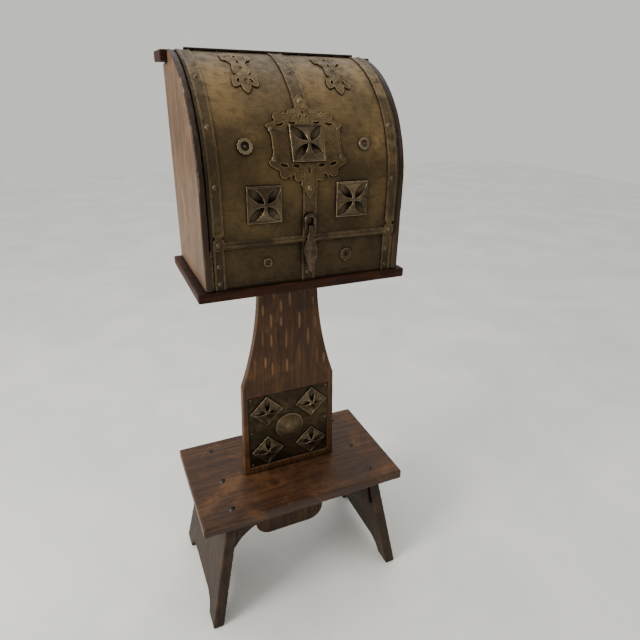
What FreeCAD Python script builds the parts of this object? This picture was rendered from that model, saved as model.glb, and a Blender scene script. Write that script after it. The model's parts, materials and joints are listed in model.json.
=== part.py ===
# Donation box: a metal-clad, round-fronted wooden box on a shelf, carried by a shaped plank post
# that stands in a splay-legged stool. Millimetres, +Z up, origin on the floor under the post.
# The front (lid, hasp, keyhole) faces -Y. The curved lid is a straight panel that rolls over into a
# quarter of a cylinder; a place on it is given by x and by its height along the skin above or below
# the line where the roll begins.
import FreeCAD, Part
import math
import os

import Sketcher

SIZES = (
    ("seat_width", 500, "stool seat, left to right"),
    ("seat_depth", 295, "stool seat, front to back"),
    ("seat_thick", 25, "stool seat board"),
    ("seat_top", 310, "height of the seat's upper face"),
    ("leg_thick", 26, "leg board, measured level"),
    ("leg_foot_x", 252, "outer face of a leg at the floor"),
    ("leg_top_x", 195, "outer face of a leg under the seat"),
    ("leg_foot_depth", 316, "leg board at the floor"),
    ("leg_top_depth", 258, "leg board under the seat"),
    ("foot_length", 51, "length of each foot on the floor"),
    ("leg_arch", 38, "height of the arch between the feet"),
    ("apron_thick", 19, "apron boards"),
    ("apron_face_y", 122, "outer face of an apron from the middle"),
    ("apron_drop", 86, "depth of an apron at its ends"),
    ("apron_rise", 63, "height of the apron's arch above its ends"),
    ("apron_end_x", 178, "where the apron's arch begins"),
    ("apron_flat_x", 75, "where the apron's arch levels out"),
    ("post_thick", 19, "post plank"),
    ("post_front_y", -15, "front face of the post"),
    ("post_foot_width", 238, "post where it stands on the seat"),
    ("post_shoulder_width", 227, "post at its shoulders"),
    ("post_shoulder_z", 556, "height of the shoulders"),
    ("post_neck_width", 134, "post under the shelf"),
    ("tenon_width", 190, "tongue of the post below the seat top"),
    ("tenon_end_z", 95, "lower end of the tongue"),
    ("tenon_round", 42, "corner radius of the tongue"),
    ("cleat_side", 22, "square battens beside the tongue"),
    ("cleat_length", 170, "length of the battens"),
    ("plaque_width", 206, "metal plaque on the post"),
    ("plaque_height", 202, "metal plaque on the post"),
    ("plaque_z", 427, "height of the plaque's middle"),
    ("plaque_inset", 3.5, "depth of the recess that holds the plaque"),
    ("plaque_stud_spread", 57, "stud centres from the plaque's middle"),
    ("plaque_stud_side", 58, "side of a plaque stud"),
    ("boss_radius", 36, "domed boss on the plaque"),
    ("boss_height", 11, "domed boss on the plaque"),
    ("boss_rim_radius", 2, "round rim along the edge of the boss"),
    ("shelf_width", 430, "shelf board"),
    ("shelf_front_y", -128.5, "front edge of the shelf"),
    ("shelf_back_y", 125.5, "back edge of the shelf"),
    ("shelf_thick", 19, "shelf board"),
    ("shelf_top", 845, "height of the shelf's upper face"),
    ("box_width", 399, "box outside"),
    ("side_thick", 12.7, "side boards of the box"),
    ("front_y", -125, "front edges of the side boards and the lid's skin"),
    ("back_y", 121.5, "back of the box"),
    ("back_thick", 12.7, "back board"),
    ("roll_radius", 230, "radius of the rolled part of the lid"),
    ("roll_z", 1017, "height where the roll begins"),
    ("top_front_y", 63, "front edge of the top board"),
    ("top_depth", 73, "top board, front to back"),
    ("top_thick", 19, "top board"),
    ("top_z", 1243, "height of the top board's upper face"),
    ("top_width", 425, "top board, left to right"),
    ("slot_length", 80, "coin slot"),
    ("slot_width", 6, "coin slot"),
    ("slot_y", 87, "middle of the coin slot"),
    ("slot_plate_rim", 9, "slot plate beyond the slot"),
    ("skin", 1.2, "metal sheet"),
    ("strap_thick", 1.5, "metal straps"),
    ("strap_width", 19, "side straps"),
    ("strap_x", 171.5, "middle of a side strap"),
    ("centre_strap_width", 26, "middle strap"),
    ("lid_gap", 1.5, "clearance between the lid and each side board"),
    ("lid_bottom", 921.5, "lower edge of the lid"),
    ("lid_top_angle", 78.2, "degrees of roll up to the lid's upper edge"),
    ("rib_depth", 20, "curved ribs under the lid's skin"),
    ("rib_width", 17, "curved ribs under the lid's skin"),
    ("edging_width", 4, "raised edging on the lid's sides"),
    ("edging_rise", 2.2, "raised edging on the lid's sides"),
    ("moulding_z", 929, "middle of the half-round moulding on the lid's lower edge"),
    ("moulding_radius", 6.5, "half-round moulding"),
    ("moulding_rise", 4, "half-round moulding above the skin"),
    ("panel_top", 920, "upper edge of the fixed lower panel"),
    ("panel_face_y", -119, "front of the lower panel's board"),
    ("panel_thick", 13, "lower panel's board"),
    ("panel_margin", 4, "bare wood beside the lower panel's sheet"),
    ("plate_thick", 2.6, "cartouche plate above the skin"),
    ("cartouche_up", 80, "height of the cartouche's middle along the skin"),
    ("mount_x", 89, "middle of a fleur mount"),
    ("mount_up", 204, "height of a mount's lower rivet along the skin"),
    ("stud_side", 65, "side of a lid stud"),
    ("stud_x", 86, "middle of a lower lid stud"),
    ("stud_up", -20.5, "height of the lower lid studs along the skin"),
    ("stud_rise", 11, "stud above its own back"),
    ("rosette_x", 114, "middle of a rosette"),
    ("rosette_up", 77, "height of the rosettes along the skin"),
    ("rosette_radius", 12.5, "rosette"),
    ("boss_x", 80, "ring boss and keyhole from the middle"),
    ("keyhole_z", 888.6, "height of the ring boss and the keyhole"),
    ("escutcheon_thick", 2.2, "keyhole escutcheon"),
    ("foot_band", 10, "height of the raised band along the foot of the lower sheet"),
    ("foot_band_rise", 0.8, "raised band above the lower sheet"),
    ("plug_radius", 5.5, "lock plug"),
    ("running_gap", 0.05, "radial clearance round turning pieces"),
    ("crank_radius", 9, "lock plug's pin from its axis"),
    ("crank_pin_radius", 1.6, "lock plug's pin"),
    ("bolt_z", 882, "middle of the lock bolt"),
    ("bolt_height", 6.5, "lock bolt"),
    ("bolt_y", -112.2, "front of the lock bolt"),
    ("bolt_thick", 3.4, "lock bolt"),
    ("bolt_tip_x", 5, "end of the lock bolt when it is drawn back"),
    ("lock_front_y", -116, "front of the lock case"),
    ("lock_back_y", -106, "back of the lock case and of the panel's board"),
    ("lock_wall", 1.2, "walls of the lock case"),
    ("hinge_y", 61, "axis of the lid hinge"),
    ("hinge_z", 1245.2, "axis of the lid hinge"),
    ("knuckle_radius", 2.4, "hinge knuckles"),
    ("hinge_pin_radius", 1.2, "hinge pin"),
    ("hinge_length", 340, "continuous hinge"),
    ("knuckles", 17, "number of hinge knuckles"),
    ("leaf_thick", 1.2, "hinge leaves"),
    ("leaf_height", 17, "hinge leaves below the axis"),
    ("hasp_axis_y", -131.8, "axis the hasp swings on"),
    ("hasp_axis_z", 951, "axis the hasp swings on"),
    ("eye_bar_radius", 2, "bar of the eye that the hasp hooks over"),
    ("eye_wire_radius", 3.8, "sides and top of the eye"),
    ("eye_radius", 9, "middle line of the eye"),
    ("eye_z", 964, "middle of the eye's round top"),
    ("hook_radius", 4.6, "outside of the hasp's hook"),
    ("hook_width", 8, "hasp's hook"),
    ("staple_thick", 5, "staple on the back of the hasp"),
    ("staple_height", 13, "staple on the back of the hasp"),
    ("staple_tip_y", -106.8, "inner end of the staple"),
    ("staple_slot_width", 7.4, "slot that takes the staple"),
    ("staple_slot_low", 870.5, "slot that takes the staple"),
    ("staple_slot_high", 897, "slot that takes the staple"),
)

doc = FreeCAD.newDocument("DonationBox")
sheet = doc.addObject("Spreadsheet::Sheet", "Sizes")
for row, (alias, number, meaning) in enumerate(SIZES, start=1):
    sheet.set(f"A{row}", meaning)
    sheet.set(f"B{row}", str(number))
    sheet.setAlias(f"B{row}", alias)
doc.recompute()

PIECES = {}


# ---- sizes that carry their own expression ----

class Size:
    """A number together with the spreadsheet expression that gives it."""

    def __init__(self, number, text):
        self.number = number
        self.text = text

    def __add__(self, other):
        other = as_size(other)
        return Size(self.number + other.number, f"({self.text} + {other.text})")

    def __sub__(self, other):
        other = as_size(other)
        return Size(self.number - other.number, f"({self.text} - {other.text})")

    def __mul__(self, other):
        other = as_size(other)
        return Size(self.number * other.number, f"({self.text} * {other.text})")

    def __truediv__(self, other):
        other = as_size(other)
        return Size(self.number / other.number, f"({self.text} / {other.text})")

    def __radd__(self, other):
        return as_size(other) + self

    def __rsub__(self, other):
        return as_size(other) - self

    def __rmul__(self, other):
        return as_size(other) * self

    def __neg__(self):
        return Size(-self.number, f"(-1 * {self.text})")

    def root(self):
        return Size(math.sqrt(self.number), f"sqrt({self.text})")


def as_size(value):
    if isinstance(value, Size):
        return value
    return Size(float(value), f"({float(value)})")


def dim(alias):
    """The size that a cell of the sheet holds."""
    return Size(float(sheet.get(alias)), f"Sizes.{alias}")


def sine(angle):
    angle = as_size(angle)
    return Size(math.sin(math.radians(angle.number)), f"sin({angle.text} * 1 deg)")


def cosine(angle):
    angle = as_size(angle)
    return Size(math.cos(math.radians(angle.number)), f"cos({angle.text} * 1 deg)")


def bind(thing, name, size):
    thing.setExpression(name, as_size(size).text)


# ---- solids ----

def keep(name, thing):
    """Give a finished sub-part its own label."""
    thing.Label = name
    PIECES[name] = thing
    return thing


def box(name, x_span, y_span, z_span):
    """A rectangular block between bound lower and upper coordinates."""
    solid = doc.addObject("Part::Box", name)
    for side, axis, span in zip(("Length", "Width", "Height"), "xyz", (x_span, y_span, z_span)):
        low, high = as_size(span[0]), as_size(span[1])
        bind(solid, side, high - low)
        bind(solid, "Placement.Base." + axis, low)
    return solid


TURN_TO_AXIS = {
    "x": FreeCAD.Rotation(FreeCAD.Vector(0, 1, 0), 90),
    "y": FreeCAD.Rotation(FreeCAD.Vector(1, 0, 0), -90),
    "z": FreeCAD.Rotation(),
}


def rod(name, along, radius, length, start):
    """A cylinder that grows from start towards +x, +y or +z."""
    solid = doc.addObject("Part::Cylinder", name)
    bind(solid, "Radius", radius)
    bind(solid, "Height", length)
    solid.Placement = FreeCAD.Placement(FreeCAD.Vector(), TURN_TO_AXIS[along])
    for axis, place in zip("xyz", start):
        bind(solid, "Placement.Base." + axis, place)
    return solid


def combine(kind, name, first, *others):
    """Cut, Fuse or Common, one tool after another."""
    for number, other in enumerate(others):
        result = doc.addObject("Part::" + kind, f"{name}_{kind.lower()}_{number}")
        result.Base = first
        result.Tool = other
        first = result
    return first


# ---- sketches ----

def arc_between(start, end, centre, turn):
    """An arc from start to end; turn is 1 anticlockwise, -1 clockwise. Gives the arc's own end numbers."""
    radius = math.hypot(start[0] - centre[0], start[1] - centre[1])
    start_angle = math.atan2(start[1] - centre[1], start[0] - centre[0])
    end_angle = math.atan2(end[1] - centre[1], end[0] - centre[0])
    circle = Part.Circle(FreeCAD.Vector(centre[0], centre[1], 0), FreeCAD.Vector(0, 0, 1), radius)
    if turn > 0:
        return Part.ArcOfCircle(circle, start_angle, end_angle), 1, 2
    return Part.ArcOfCircle(circle, end_angle, start_angle), 2, 1


def pin_point(sketch, edge, vertex, place, free=None):
    """Bind a vertex to its two coordinates, leaving one free if the geometry already fixes it."""
    for kind, size in zip(("DistanceX", "DistanceY"), place):
        if kind == free:
            continue
        number = sketch.addConstraint(Sketcher.Constraint(kind, edge, vertex, size.number))
        bind(sketch, f"Constraints[{number}]", size)


def draw_loop(sketch, steps):
    """Close one loop. A step is (x, y) for a line to that corner, or (x, y, centre x, centre y, turn)
    for an arc to it; the loop starts at the last corner."""
    steps = [tuple(as_size(value) for value in step[:4]) + tuple(step[4:]) for step in steps]
    edges = []
    for before, step in zip([steps[-1]] + steps[:-1], steps):
        start = (before[0].number, before[1].number)
        end = (step[0].number, step[1].number)
        if len(step) == 2:
            line = Part.LineSegment(FreeCAD.Vector(*start, 0), FreeCAD.Vector(*end, 0))
            edges.append((sketch.addGeometry(line), 1, 2))
        else:
            centre = (step[2].number, step[3].number)
            arc, first, last = arc_between(start, end, centre, step[4])
            edges.append((sketch.addGeometry(arc), first, last))
    for edge, following in zip(edges, edges[1:] + edges[:1]):
        sketch.addConstraint(Sketcher.Constraint("Coincident", edge[0], edge[2], following[0], following[1]))
    for edge, step in zip(edges, steps):
        free = None
        if len(step) > 2:
            across = abs(step[0].number - step[2].number)
            along = abs(step[1].number - step[3].number)
            free = "DistanceX" if across > along else "DistanceY"
            pin_point(sketch, edge[0], 3, (step[2], step[3]))
        pin_point(sketch, edge[0], edge[2], (step[0], step[1]), free)


def draw_ornament(sketch, steps):
    """Close one loop of a free ornament, whose edges are held in place as drawn."""
    for before, step in zip([steps[-1]] + steps[:-1], steps):
        if len(step) == 2:
            edge = Part.LineSegment(FreeCAD.Vector(*before[:2], 0), FreeCAD.Vector(*step, 0))
        else:
            edge, _, _ = arc_between(before[:2], step[:2], step[2:4], step[4])
        number = sketch.addGeometry(edge)
        sketch.addConstraint(Sketcher.Constraint("Block", number))


def new_sketch(body, role, name):
    sketch = body.newObject("Sketcher::SketchObject", name)
    plane = next(feature for feature in body.Origin.OriginFeatures if feature.Role == role)
    sketch.AttachmentSupport = [(plane, "")]
    sketch.MapMode = "FlatFace"
    return sketch


PLANES = {"XY": ("XY_Plane", "z", 1), "XZ": ("XZ_Plane", "y", -1), "YZ": ("YZ_Plane", "x", 1)}


def padded(name, role, loops, thickness):
    """A body padded from closed loops on one of its own planes."""
    body = doc.addObject("PartDesign::Body", name)
    sketch = new_sketch(body, role, name + "_outline")
    for loop in loops:
        if any(isinstance(value, Size) for step in loop for value in step):
            draw_loop(sketch, loop)
        else:
            draw_ornament(sketch, loop)
    pad = body.newObject("PartDesign::Pad", name + "_pad")
    pad.Profile = sketch
    bind(pad, "Length", thickness)
    return body


def slab(name, plane, outline, low, thickness, holes=()):
    """A padded body that runs from the coordinate low upwards along the plane's third axis."""
    role, axis, sense = PLANES[plane]
    body = padded(name, role, (outline, *holes), thickness)
    bind(body, "Placement.Base." + axis, low if sense > 0 else low + thickness)
    return body


def rectangle(x_low, x_high, y_low, y_high):
    return [(x_low, y_low), (x_high, y_low), (x_high, y_high), (x_low, y_high)]


# ---- the lid's skin ----

ROLL_Y = dim("front_y") + dim("roll_radius")
ROLL_Z = dim("roll_z")


def skin_point(lift, angle):
    """The y and z of a point on the roll, lift above the skin, angle degrees up the roll."""
    radius = dim("roll_radius") + lift
    return ROLL_Y - radius * cosine(angle), ROLL_Z + radius * sine(angle)


def curved_band(name, x_low, width, inner, outer, bottom, top_angle):
    """A strip that follows the skin from the height bottom up over the roll to top_angle."""
    front = dim("front_y")
    outline = [
        (front - outer, bottom),
        (front - outer, ROLL_Z),
        (*skin_point(outer, top_angle), ROLL_Y, ROLL_Z, -1),
        skin_point(inner, top_angle),
        (front - inner, ROLL_Z, ROLL_Y, ROLL_Z, 1),
        (front - inner, bottom),
    ]
    return slab(name, "YZ", outline, x_low, width)


def on_skin(x, up, lift=0.0, spin=0.0):
    """Placement whose z leaves the skin and whose y climbs it, at x and the skin height up."""
    radius = dim("roll_radius").number
    angle = max(0.0, math.degrees(up / radius))
    if up <= 0:
        spot = FreeCAD.Vector(x, dim("front_y").number - lift, ROLL_Z.number + up)
    else:
        y, z = skin_point(lift, angle)
        spot = FreeCAD.Vector(x, y.number, z.number)
    lean = FreeCAD.Rotation(FreeCAD.Vector(1, 0, 0), 90 - angle)
    return FreeCAD.Placement(spot, lean * FreeCAD.Rotation(FreeCAD.Vector(0, 0, 1), spin))


def facing_front(x, y, z, spin=0.0):
    """Placement whose z points forward, out of an upright face."""
    lean = FreeCAD.Rotation(FreeCAD.Vector(1, 0, 0), 90)
    turn = FreeCAD.Rotation(FreeCAD.Vector(0, 0, 1), spin)
    return FreeCAD.Placement(FreeCAD.Vector(x, y, z), lean * turn)


def facing_up(x, y, z):
    return FreeCAD.Placement(FreeCAD.Vector(x, y, z), FreeCAD.Rotation())


# ---- fasteners and studs that are used many times ----

def nail(name, head_radius, head_height, shank_radius, shank_length):
    """A round-headed nail turned about z, its head's underside at z = 0."""
    head_radius = as_size(head_radius)
    height = as_size(head_height)
    ball = (head_radius * head_radius + height * height) / (2 * height)
    body = doc.addObject("PartDesign::Body", name)
    sketch = new_sketch(body, "XZ_Plane", name + "_outline")
    draw_loop(sketch, [
        (0, -as_size(shank_length)),
        (shank_radius, -as_size(shank_length)),
        (shank_radius, 0),
        (head_radius, 0),
        (0, height, 0, height - ball, 1),
    ])
    turning = body.newObject("PartDesign::Revolution", name + "_turning")
    turning.Profile = sketch
    turning.ReferenceAxis = (sketch, ["V_Axis"])
    turning.Angle = 360
    return body


def copies(name, master, placements):
    """Separate solids of one pattern piece, set at the given placements."""
    solids = []
    for placement in placements:
        solid = master.Shape.copy()
        solid.Placement = placement
        solids.append(solid)
    group = doc.addObject("Part::Feature", name)
    group.Shape = Part.makeCompound(solids) if len(solids) > 1 else solids[0]
    return keep(name, group)


def stud(name, side, below=0.0):
    """A square stud lying on z = 0: a raised rim round a low pyramid with four leaf-shaped hollows."""
    side = as_size(side)
    half = side / 2
    leaf_floor = 0.8
    base = 2.4
    rim = 3.2
    rise = dim("stud_rise")
    plate = box(name + "_plate", (-half, half), (-half, half), (-below, rim))
    well = box(name + "_well", (rim - half, half - rim), (rim - half, half - rim), (base, rim + 1))
    frame = combine("Cut", name + "_frame", plate, well)
    pyramid = doc.addObject("Part::Wedge", name + "_pyramid")
    foot = half - rim
    tip = 1.5
    for prop, size in (("Xmin", -foot), ("Xmax", foot), ("Zmin", -foot), ("Zmax", foot),
                       ("X2min", -tip), ("X2max", tip), ("Z2min", -tip), ("Z2max", tip),
                       ("Ymin", base), ("Ymax", rise)):
        bind(pyramid, prop, size)
    pyramid.Placement = FreeCAD.Placement(FreeCAD.Vector(), FreeCAD.Rotation(FreeCAD.Vector(1, 0, 0), 90))
    solid = combine("Fuse", name + "_body", frame, pyramid)
    leaf_length = side * 0.58
    leaf_width = side * 0.235
    bow = (leaf_length * leaf_length + leaf_width * leaf_width) / (4 * leaf_width)
    centre_out = side * 0.345
    leaves = []
    for quarter in range(4):
        discs = []
        for hand in (-1, 1):
            disc = rod(f"{name}_disc_{quarter}_{hand + 1}", "z", bow, rise, (0, 0, leaf_floor))
            across = hand * (bow - leaf_width / 2)
            heading = 45 + 90 * quarter
            bind(disc, "Placement.Base.x", centre_out * cosine(heading) - across * sine(heading))
            bind(disc, "Placement.Base.y", centre_out * sine(heading) + across * cosine(heading))
            discs.append(disc)
        leaves.append(combine("Common", f"{name}_leaf_{quarter}", *discs))
    return combine("Cut", name, solid, *leaves)


def round_edges(body, radius, wanted):
    """Round the edges of a body's last feature whose middle passes the test."""
    doc.recompute()
    last = body.Tip
    names = []
    for number, edge in enumerate(last.Shape.Edges, start=1):
        if wanted(edge.CenterOfMass):
            names.append(f"Edge{number}")
    rounding = body.newObject("PartDesign::Fillet", body.Name + "_round")
    rounding.Base = (last, names)
    bind(rounding, "Radius", radius)
    return body


def mirrored_loop(half):
    """Close an outline from its right half, top to bottom: (x, y, bulge) where bulge is the tangent
    of a quarter of the arc that leads to the point, positive when it swells outwards."""
    points = list(half)
    for (x, y, _), (_, _, bulge) in zip(half[-2:0:-1], half[:1:-1]):
        points.append((-x, y, bulge))
    points[0] = (half[0][0], half[0][1], half[1][2])
    return bulged(points)


def bulged(points):
    """Turn (x, y, bulge) corners, clockwise, into the steps that draw_loop takes."""
    steps = []
    for (x0, y0, _), (x1, y1, bulge) in zip([points[-1]] + points[:-1], points):
        if bulge == 0:
            steps.append((x1, y1))
            continue
        reach = (1 - bulge * bulge) / (4 * bulge)
        centre_x = (x0 + x1) / 2 + (y1 - y0) * reach
        centre_y = (y0 + y1) / 2 - (x1 - x0) * reach
        steps.append((x1, y1, centre_x, centre_y, -1 if bulge > 0 else 1))
    return steps


def ring(x, y, radius):
    """A round hole as a loop of two half circles."""
    return [(x + radius, y, x, y, -1), (x - radius, y, x, y, -1)]


def lens(x, y, length, width, heading):
    """A leaf-shaped hole."""
    across = math.radians(heading)
    tip_x = length / 2 * math.cos(across)
    tip_y = length / 2 * math.sin(across)
    bulge = width / length
    return bulged([(x - tip_x, y - tip_y, bulge), (x + tip_x, y + tip_y, bulge)])


def crescent(x, y, length, heading):
    """A hole shaped like a smile, its ends turned up when the heading is 0."""
    across = math.radians(heading)
    tip_x = length / 2 * math.cos(across)
    tip_y = length / 2 * math.sin(across)
    return bulged([(x - tip_x, y - tip_y, 0.62), (x + tip_x, y + tip_y, -0.22)])


def skin_plate(name, x, middle_up, outline, holes, inner, outer):
    """A pierced plate bent to the skin. Its outline is given in x and height along the skin, both
    from its middle."""
    radius = dim("roll_radius").number
    tilt = math.degrees(middle_up / radius)
    along_y = math.sin(math.radians(tilt))
    along_z = math.cos(math.radians(tilt))

    def unrolled(up):
        spot = on_skin(0, middle_up + up).Base - on_skin(0, middle_up).Base
        return spot.y * along_y + spot.z * along_z

    def flattened(loop):
        flat = []
        for step in loop:
            if len(step) == 2:
                flat.append((step[0], unrolled(step[1])))
            else:
                flat.append((step[0], unrolled(step[1]), step[2], unrolled(step[3]), step[4]))
        return flat

    loops = [outline_fit(flattened(loop)) for loop in (outline, *holes)]
    blank = padded(name + "_blank", "XY_Plane", loops, 60)
    blank.Placement = on_skin(x, middle_up, lift=-30)
    reach = 120
    band = curved_band(name + "_band", x - reach, 2 * reach, inner, outer, dim("lid_bottom"), 90)
    return combine("Common", name, blank, band)


def outline_fit(steps):
    """Move each arc's centre on to the line that is equally far from both of its ends."""
    fitted = []
    for before, step in zip([steps[-1]] + steps[:-1], steps):
        if len(step) == 2:
            fitted.append(step)
            continue
        chord_x = step[0] - before[0]
        chord_y = step[1] - before[1]
        middle_x = (step[0] + before[0]) / 2
        middle_y = (step[1] + before[1]) / 2
        slip = (step[2] - middle_x) * chord_x + (step[3] - middle_y) * chord_y
        slip = slip / (chord_x * chord_x + chord_y * chord_y)
        fitted.append((step[0], step[1], step[2] - slip * chord_x, step[3] - slip * chord_y, step[4]))
    return fitted


# ---- stool ----

HALF_SEAT_WIDTH = dim("seat_width") / 2
HALF_SEAT_DEPTH = dim("seat_depth") / 2
SEAT_UNDER = dim("seat_top") - dim("seat_thick")
POST_FRONT = dim("post_front_y")
POST_BACK = POST_FRONT + dim("post_thick")
HALF_TENON = dim("tenon_width") / 2

seat = slab(
    "seat_board", "XY",
    rectangle(-HALF_SEAT_WIDTH, HALF_SEAT_WIDTH, -HALF_SEAT_DEPTH, HALF_SEAT_DEPTH),
    SEAT_UNDER, dim("seat_thick"),
)
round_edges(seat, 3, lambda middle: middle.z > dim("seat_thick").number - 1)
tenon_slot = box(
    "tenon_slot", (-HALF_TENON, HALF_TENON), (POST_FRONT, POST_BACK), (SEAT_UNDER - 1, dim("seat_top") + 1),
)
keep("stool_top", combine("Cut", "stool_top", seat, tenon_slot))


def stool_leg(name, hand):
    """A board that leans outwards and widens downwards, with an arch between its feet."""
    foot_x = hand * dim("leg_foot_x")
    top_x = hand * dim("leg_top_x")
    inward = hand * dim("leg_thick")
    foot_y = dim("leg_foot_depth") / 2
    top_y = dim("leg_top_depth") / 2
    arch_y = foot_y - dim("foot_length")
    arch = dim("leg_arch")
    lean = [(foot_x - inward, 0), (foot_x, 0), (top_x, SEAT_UNDER), (top_x - inward, SEAT_UNDER)]
    shape = [
        (-foot_y, 0),
        (-arch_y, 0),
        (arch - arch_y, arch, arch - arch_y, 0, -1),
        (arch_y - arch, arch),
        (arch_y, 0, arch_y - arch, 0, -1),
        (foot_y, 0),
        (top_y, SEAT_UNDER),
        (-top_y, SEAT_UNDER),
    ]
    board = slab(name + "_board", "XZ", lean, -foot_y, dim("leg_foot_depth"))
    reach = dim("leg_foot_x") - dim("leg_top_x") + dim("leg_thick") + 10
    low = dim("leg_top_x") - dim("leg_thick") - 5 if hand > 0 else -dim("leg_foot_x") - 5
    cutter = slab(name + "_shape", "YZ", shape, low, reach)
    return keep(name, combine("Common", name, board, cutter))


stool_leg("leg_left", -1)
stool_leg("leg_right", 1)


def leg_inner_x(height):
    """Inner face of a leg at a height above the floor."""
    lean = (dim("leg_foot_x") - dim("leg_top_x")) / SEAT_UNDER
    return dim("leg_foot_x") - dim("leg_thick") - lean * height


def apron(name, low_y):
    """A board between the legs with an arched lower edge."""
    low_z = SEAT_UNDER - dim("apron_drop")
    rise = dim("apron_rise")
    end_x = dim("apron_end_x")
    flat_x = dim("apron_flat_x")
    run = end_x - flat_x
    radius = (run * run + rise * rise) / (2 * rise)
    corner_x = leg_inner_x(low_z)
    top_x = leg_inner_x(SEAT_UNDER)
    outline = [
        (-corner_x, low_z),
        (-end_x, low_z),
        (-flat_x, low_z + rise, -flat_x, low_z + rise - radius, -1),
        (flat_x, low_z + rise),
        (end_x, low_z, flat_x, low_z + rise - radius, -1),
        (corner_x, low_z),
        (top_x, SEAT_UNDER),
        (-top_x, SEAT_UNDER),
    ]
    return keep(name, slab(name, "XZ", outline, low_y, dim("apron_thick")))


apron("apron_front", -dim("apron_face_y"))
apron("apron_rear", dim("apron_face_y") - dim("apron_thick"))

CLEAT = dim("cleat_side")
CLEAT_X = (-dim("cleat_length") / 2, dim("cleat_length") / 2)
CLEAT_Z = (SEAT_UNDER - CLEAT, SEAT_UNDER)
cleats = doc.addObject("Part::Compound", "tenon_cleats")
cleats.Links = [
    box("cleat_front", CLEAT_X, (POST_FRONT - CLEAT, POST_FRONT), CLEAT_Z),
    box("cleat_back", CLEAT_X, (POST_BACK, POST_BACK + CLEAT), CLEAT_Z),
]
keep("tenon_cleats", cleats)

# ---- post and plaque ----

SHELF_UNDER = dim("shelf_top") - dim("shelf_thick")
half_foot = dim("post_foot_width") / 2
half_shoulder = dim("post_shoulder_width") / 2
half_neck = dim("post_neck_width") / 2
shoulder_z = dim("post_shoulder_z")
sweep_x = half_shoulder - half_neck
sweep_z = SHELF_UNDER - shoulder_z
sweep_radius = (sweep_x * sweep_x + sweep_z * sweep_z) / (2 * sweep_x)
tongue = dim("tenon_round")
tongue_end = dim("tenon_end_z")
post_outline = [
    (HALF_TENON - tongue, tongue_end),
    (HALF_TENON, tongue_end + tongue, HALF_TENON - tongue, tongue_end + tongue, 1),
    (HALF_TENON, dim("seat_top")),
    (half_foot, dim("seat_top")),
    (half_shoulder, shoulder_z),
    (half_neck, SHELF_UNDER, half_neck + sweep_radius, SHELF_UNDER, -1),
    (-half_neck, SHELF_UNDER),
    (-half_shoulder, shoulder_z, -half_neck - sweep_radius, SHELF_UNDER, -1),
    (-half_foot, dim("seat_top")),
    (-HALF_TENON, dim("seat_top")),
    (-HALF_TENON, tongue_end + tongue),
    (tongue - HALF_TENON, tongue_end, tongue - HALF_TENON, tongue_end + tongue, 1),
]
plank = slab("post_plank", "XZ", post_outline, POST_FRONT, dim("post_thick"))

plaque_x = dim("plaque_width") / 2
plaque_low = dim("plaque_z") - dim("plaque_height") / 2
plaque_high = dim("plaque_z") + dim("plaque_height") / 2
PLAQUE_BED = POST_FRONT + dim("plaque_inset")
PLAQUE_FACE = PLAQUE_BED - dim("strap_thick")
recess = box(
    "plaque_recess", (-plaque_x, plaque_x), (POST_FRONT - 1, PLAQUE_BED), (plaque_low, plaque_high),
)

# Gouges in the plank's face: x, height and length of each, all with the grain.
GOUGES = (
    (-43, 718, 44), (-43, 668, 40), (-64, 676, 48), (-7, 667, 58), (25, 708, 52), (46, 664, 56),
    (63, 697, 38), (24, 622, 60), (-6, 598, 46), (-19, 749, 34), (2, 762, 42), (27, 786, 26),
    (57, 752, 24), (-35, 774, 24), (-85, 612, 42), (-58, 615, 36), (-41, 596, 40), (69, 611, 48),
    (-61, 744, 34), (-19, 712, 28), (88, 600, 34), (46, 790, 30), (-52, 790, 30),
)
GOUGE_RADIUS = 4.2
GOUGE_LIFT = 2.4
gouge_cuts = []
for number, (x, z, length) in enumerate(GOUGES):
    scoop = doc.addObject("Part::Ellipsoid", f"gouge_{number}")
    scoop.Radius1 = length / 2 * GOUGE_RADIUS / math.sqrt(GOUGE_RADIUS ** 2 - GOUGE_LIFT ** 2)
    scoop.Radius2 = GOUGE_RADIUS
    scoop.Radius3 = GOUGE_RADIUS
    scoop.Placement.Base = FreeCAD.Vector(x, 0, z)
    bind(scoop, "Placement.Base.y", POST_FRONT - GOUGE_LIFT)
    gouge_cuts.append(scoop)
gouges = doc.addObject("Part::Compound", "gouges")
gouges.Links = gouge_cuts
keep("post", combine("Cut", "post", plank, recess, gouges))

PLATE_MARGIN = 1
plaque_plate = box(
    "plaque_sheet",
    (PLATE_MARGIN - plaque_x, plaque_x - PLATE_MARGIN),
    (PLAQUE_FACE, PLAQUE_BED),
    (plaque_low + PLATE_MARGIN, plaque_high - PLATE_MARGIN),
)
keep("plaque_plate", plaque_plate)
plaque_stud = stud("plaque_stud", dim("plaque_stud_side"))
boss_dome = nail("boss_dome", dim("boss_radius"), dim("boss_height"), 2, 6)
rim_radius = dim("boss_rim_radius")
boss_rim = doc.addObject("Part::Torus", "boss_rim")
bind(boss_rim, "Radius1", dim("boss_radius") - rim_radius)
bind(boss_rim, "Radius2", rim_radius)
reach = dim("boss_radius") + 1
below_rim = box("below_rim", (-reach, reach), (-reach, reach), (-2 * rim_radius, 0))
rimmed_boss = combine("Fuse", "rimmed_boss", boss_dome, combine("Cut", "rim_top", boss_rim, below_rim))

# ---- shelf ----

half_shelf = dim("shelf_width") / 2
shelf = slab(
    "shelf", "XY",
    rectangle(-half_shelf, half_shelf, dim("shelf_front_y"), dim("shelf_back_y")),
    SHELF_UNDER, dim("shelf_thick"),
)
round_edges(shelf, 2, lambda middle: middle.z < 1 or middle.z > dim("shelf_thick").number - 1)
keep("shelf", shelf)

# ---- box carcass ----

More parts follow.
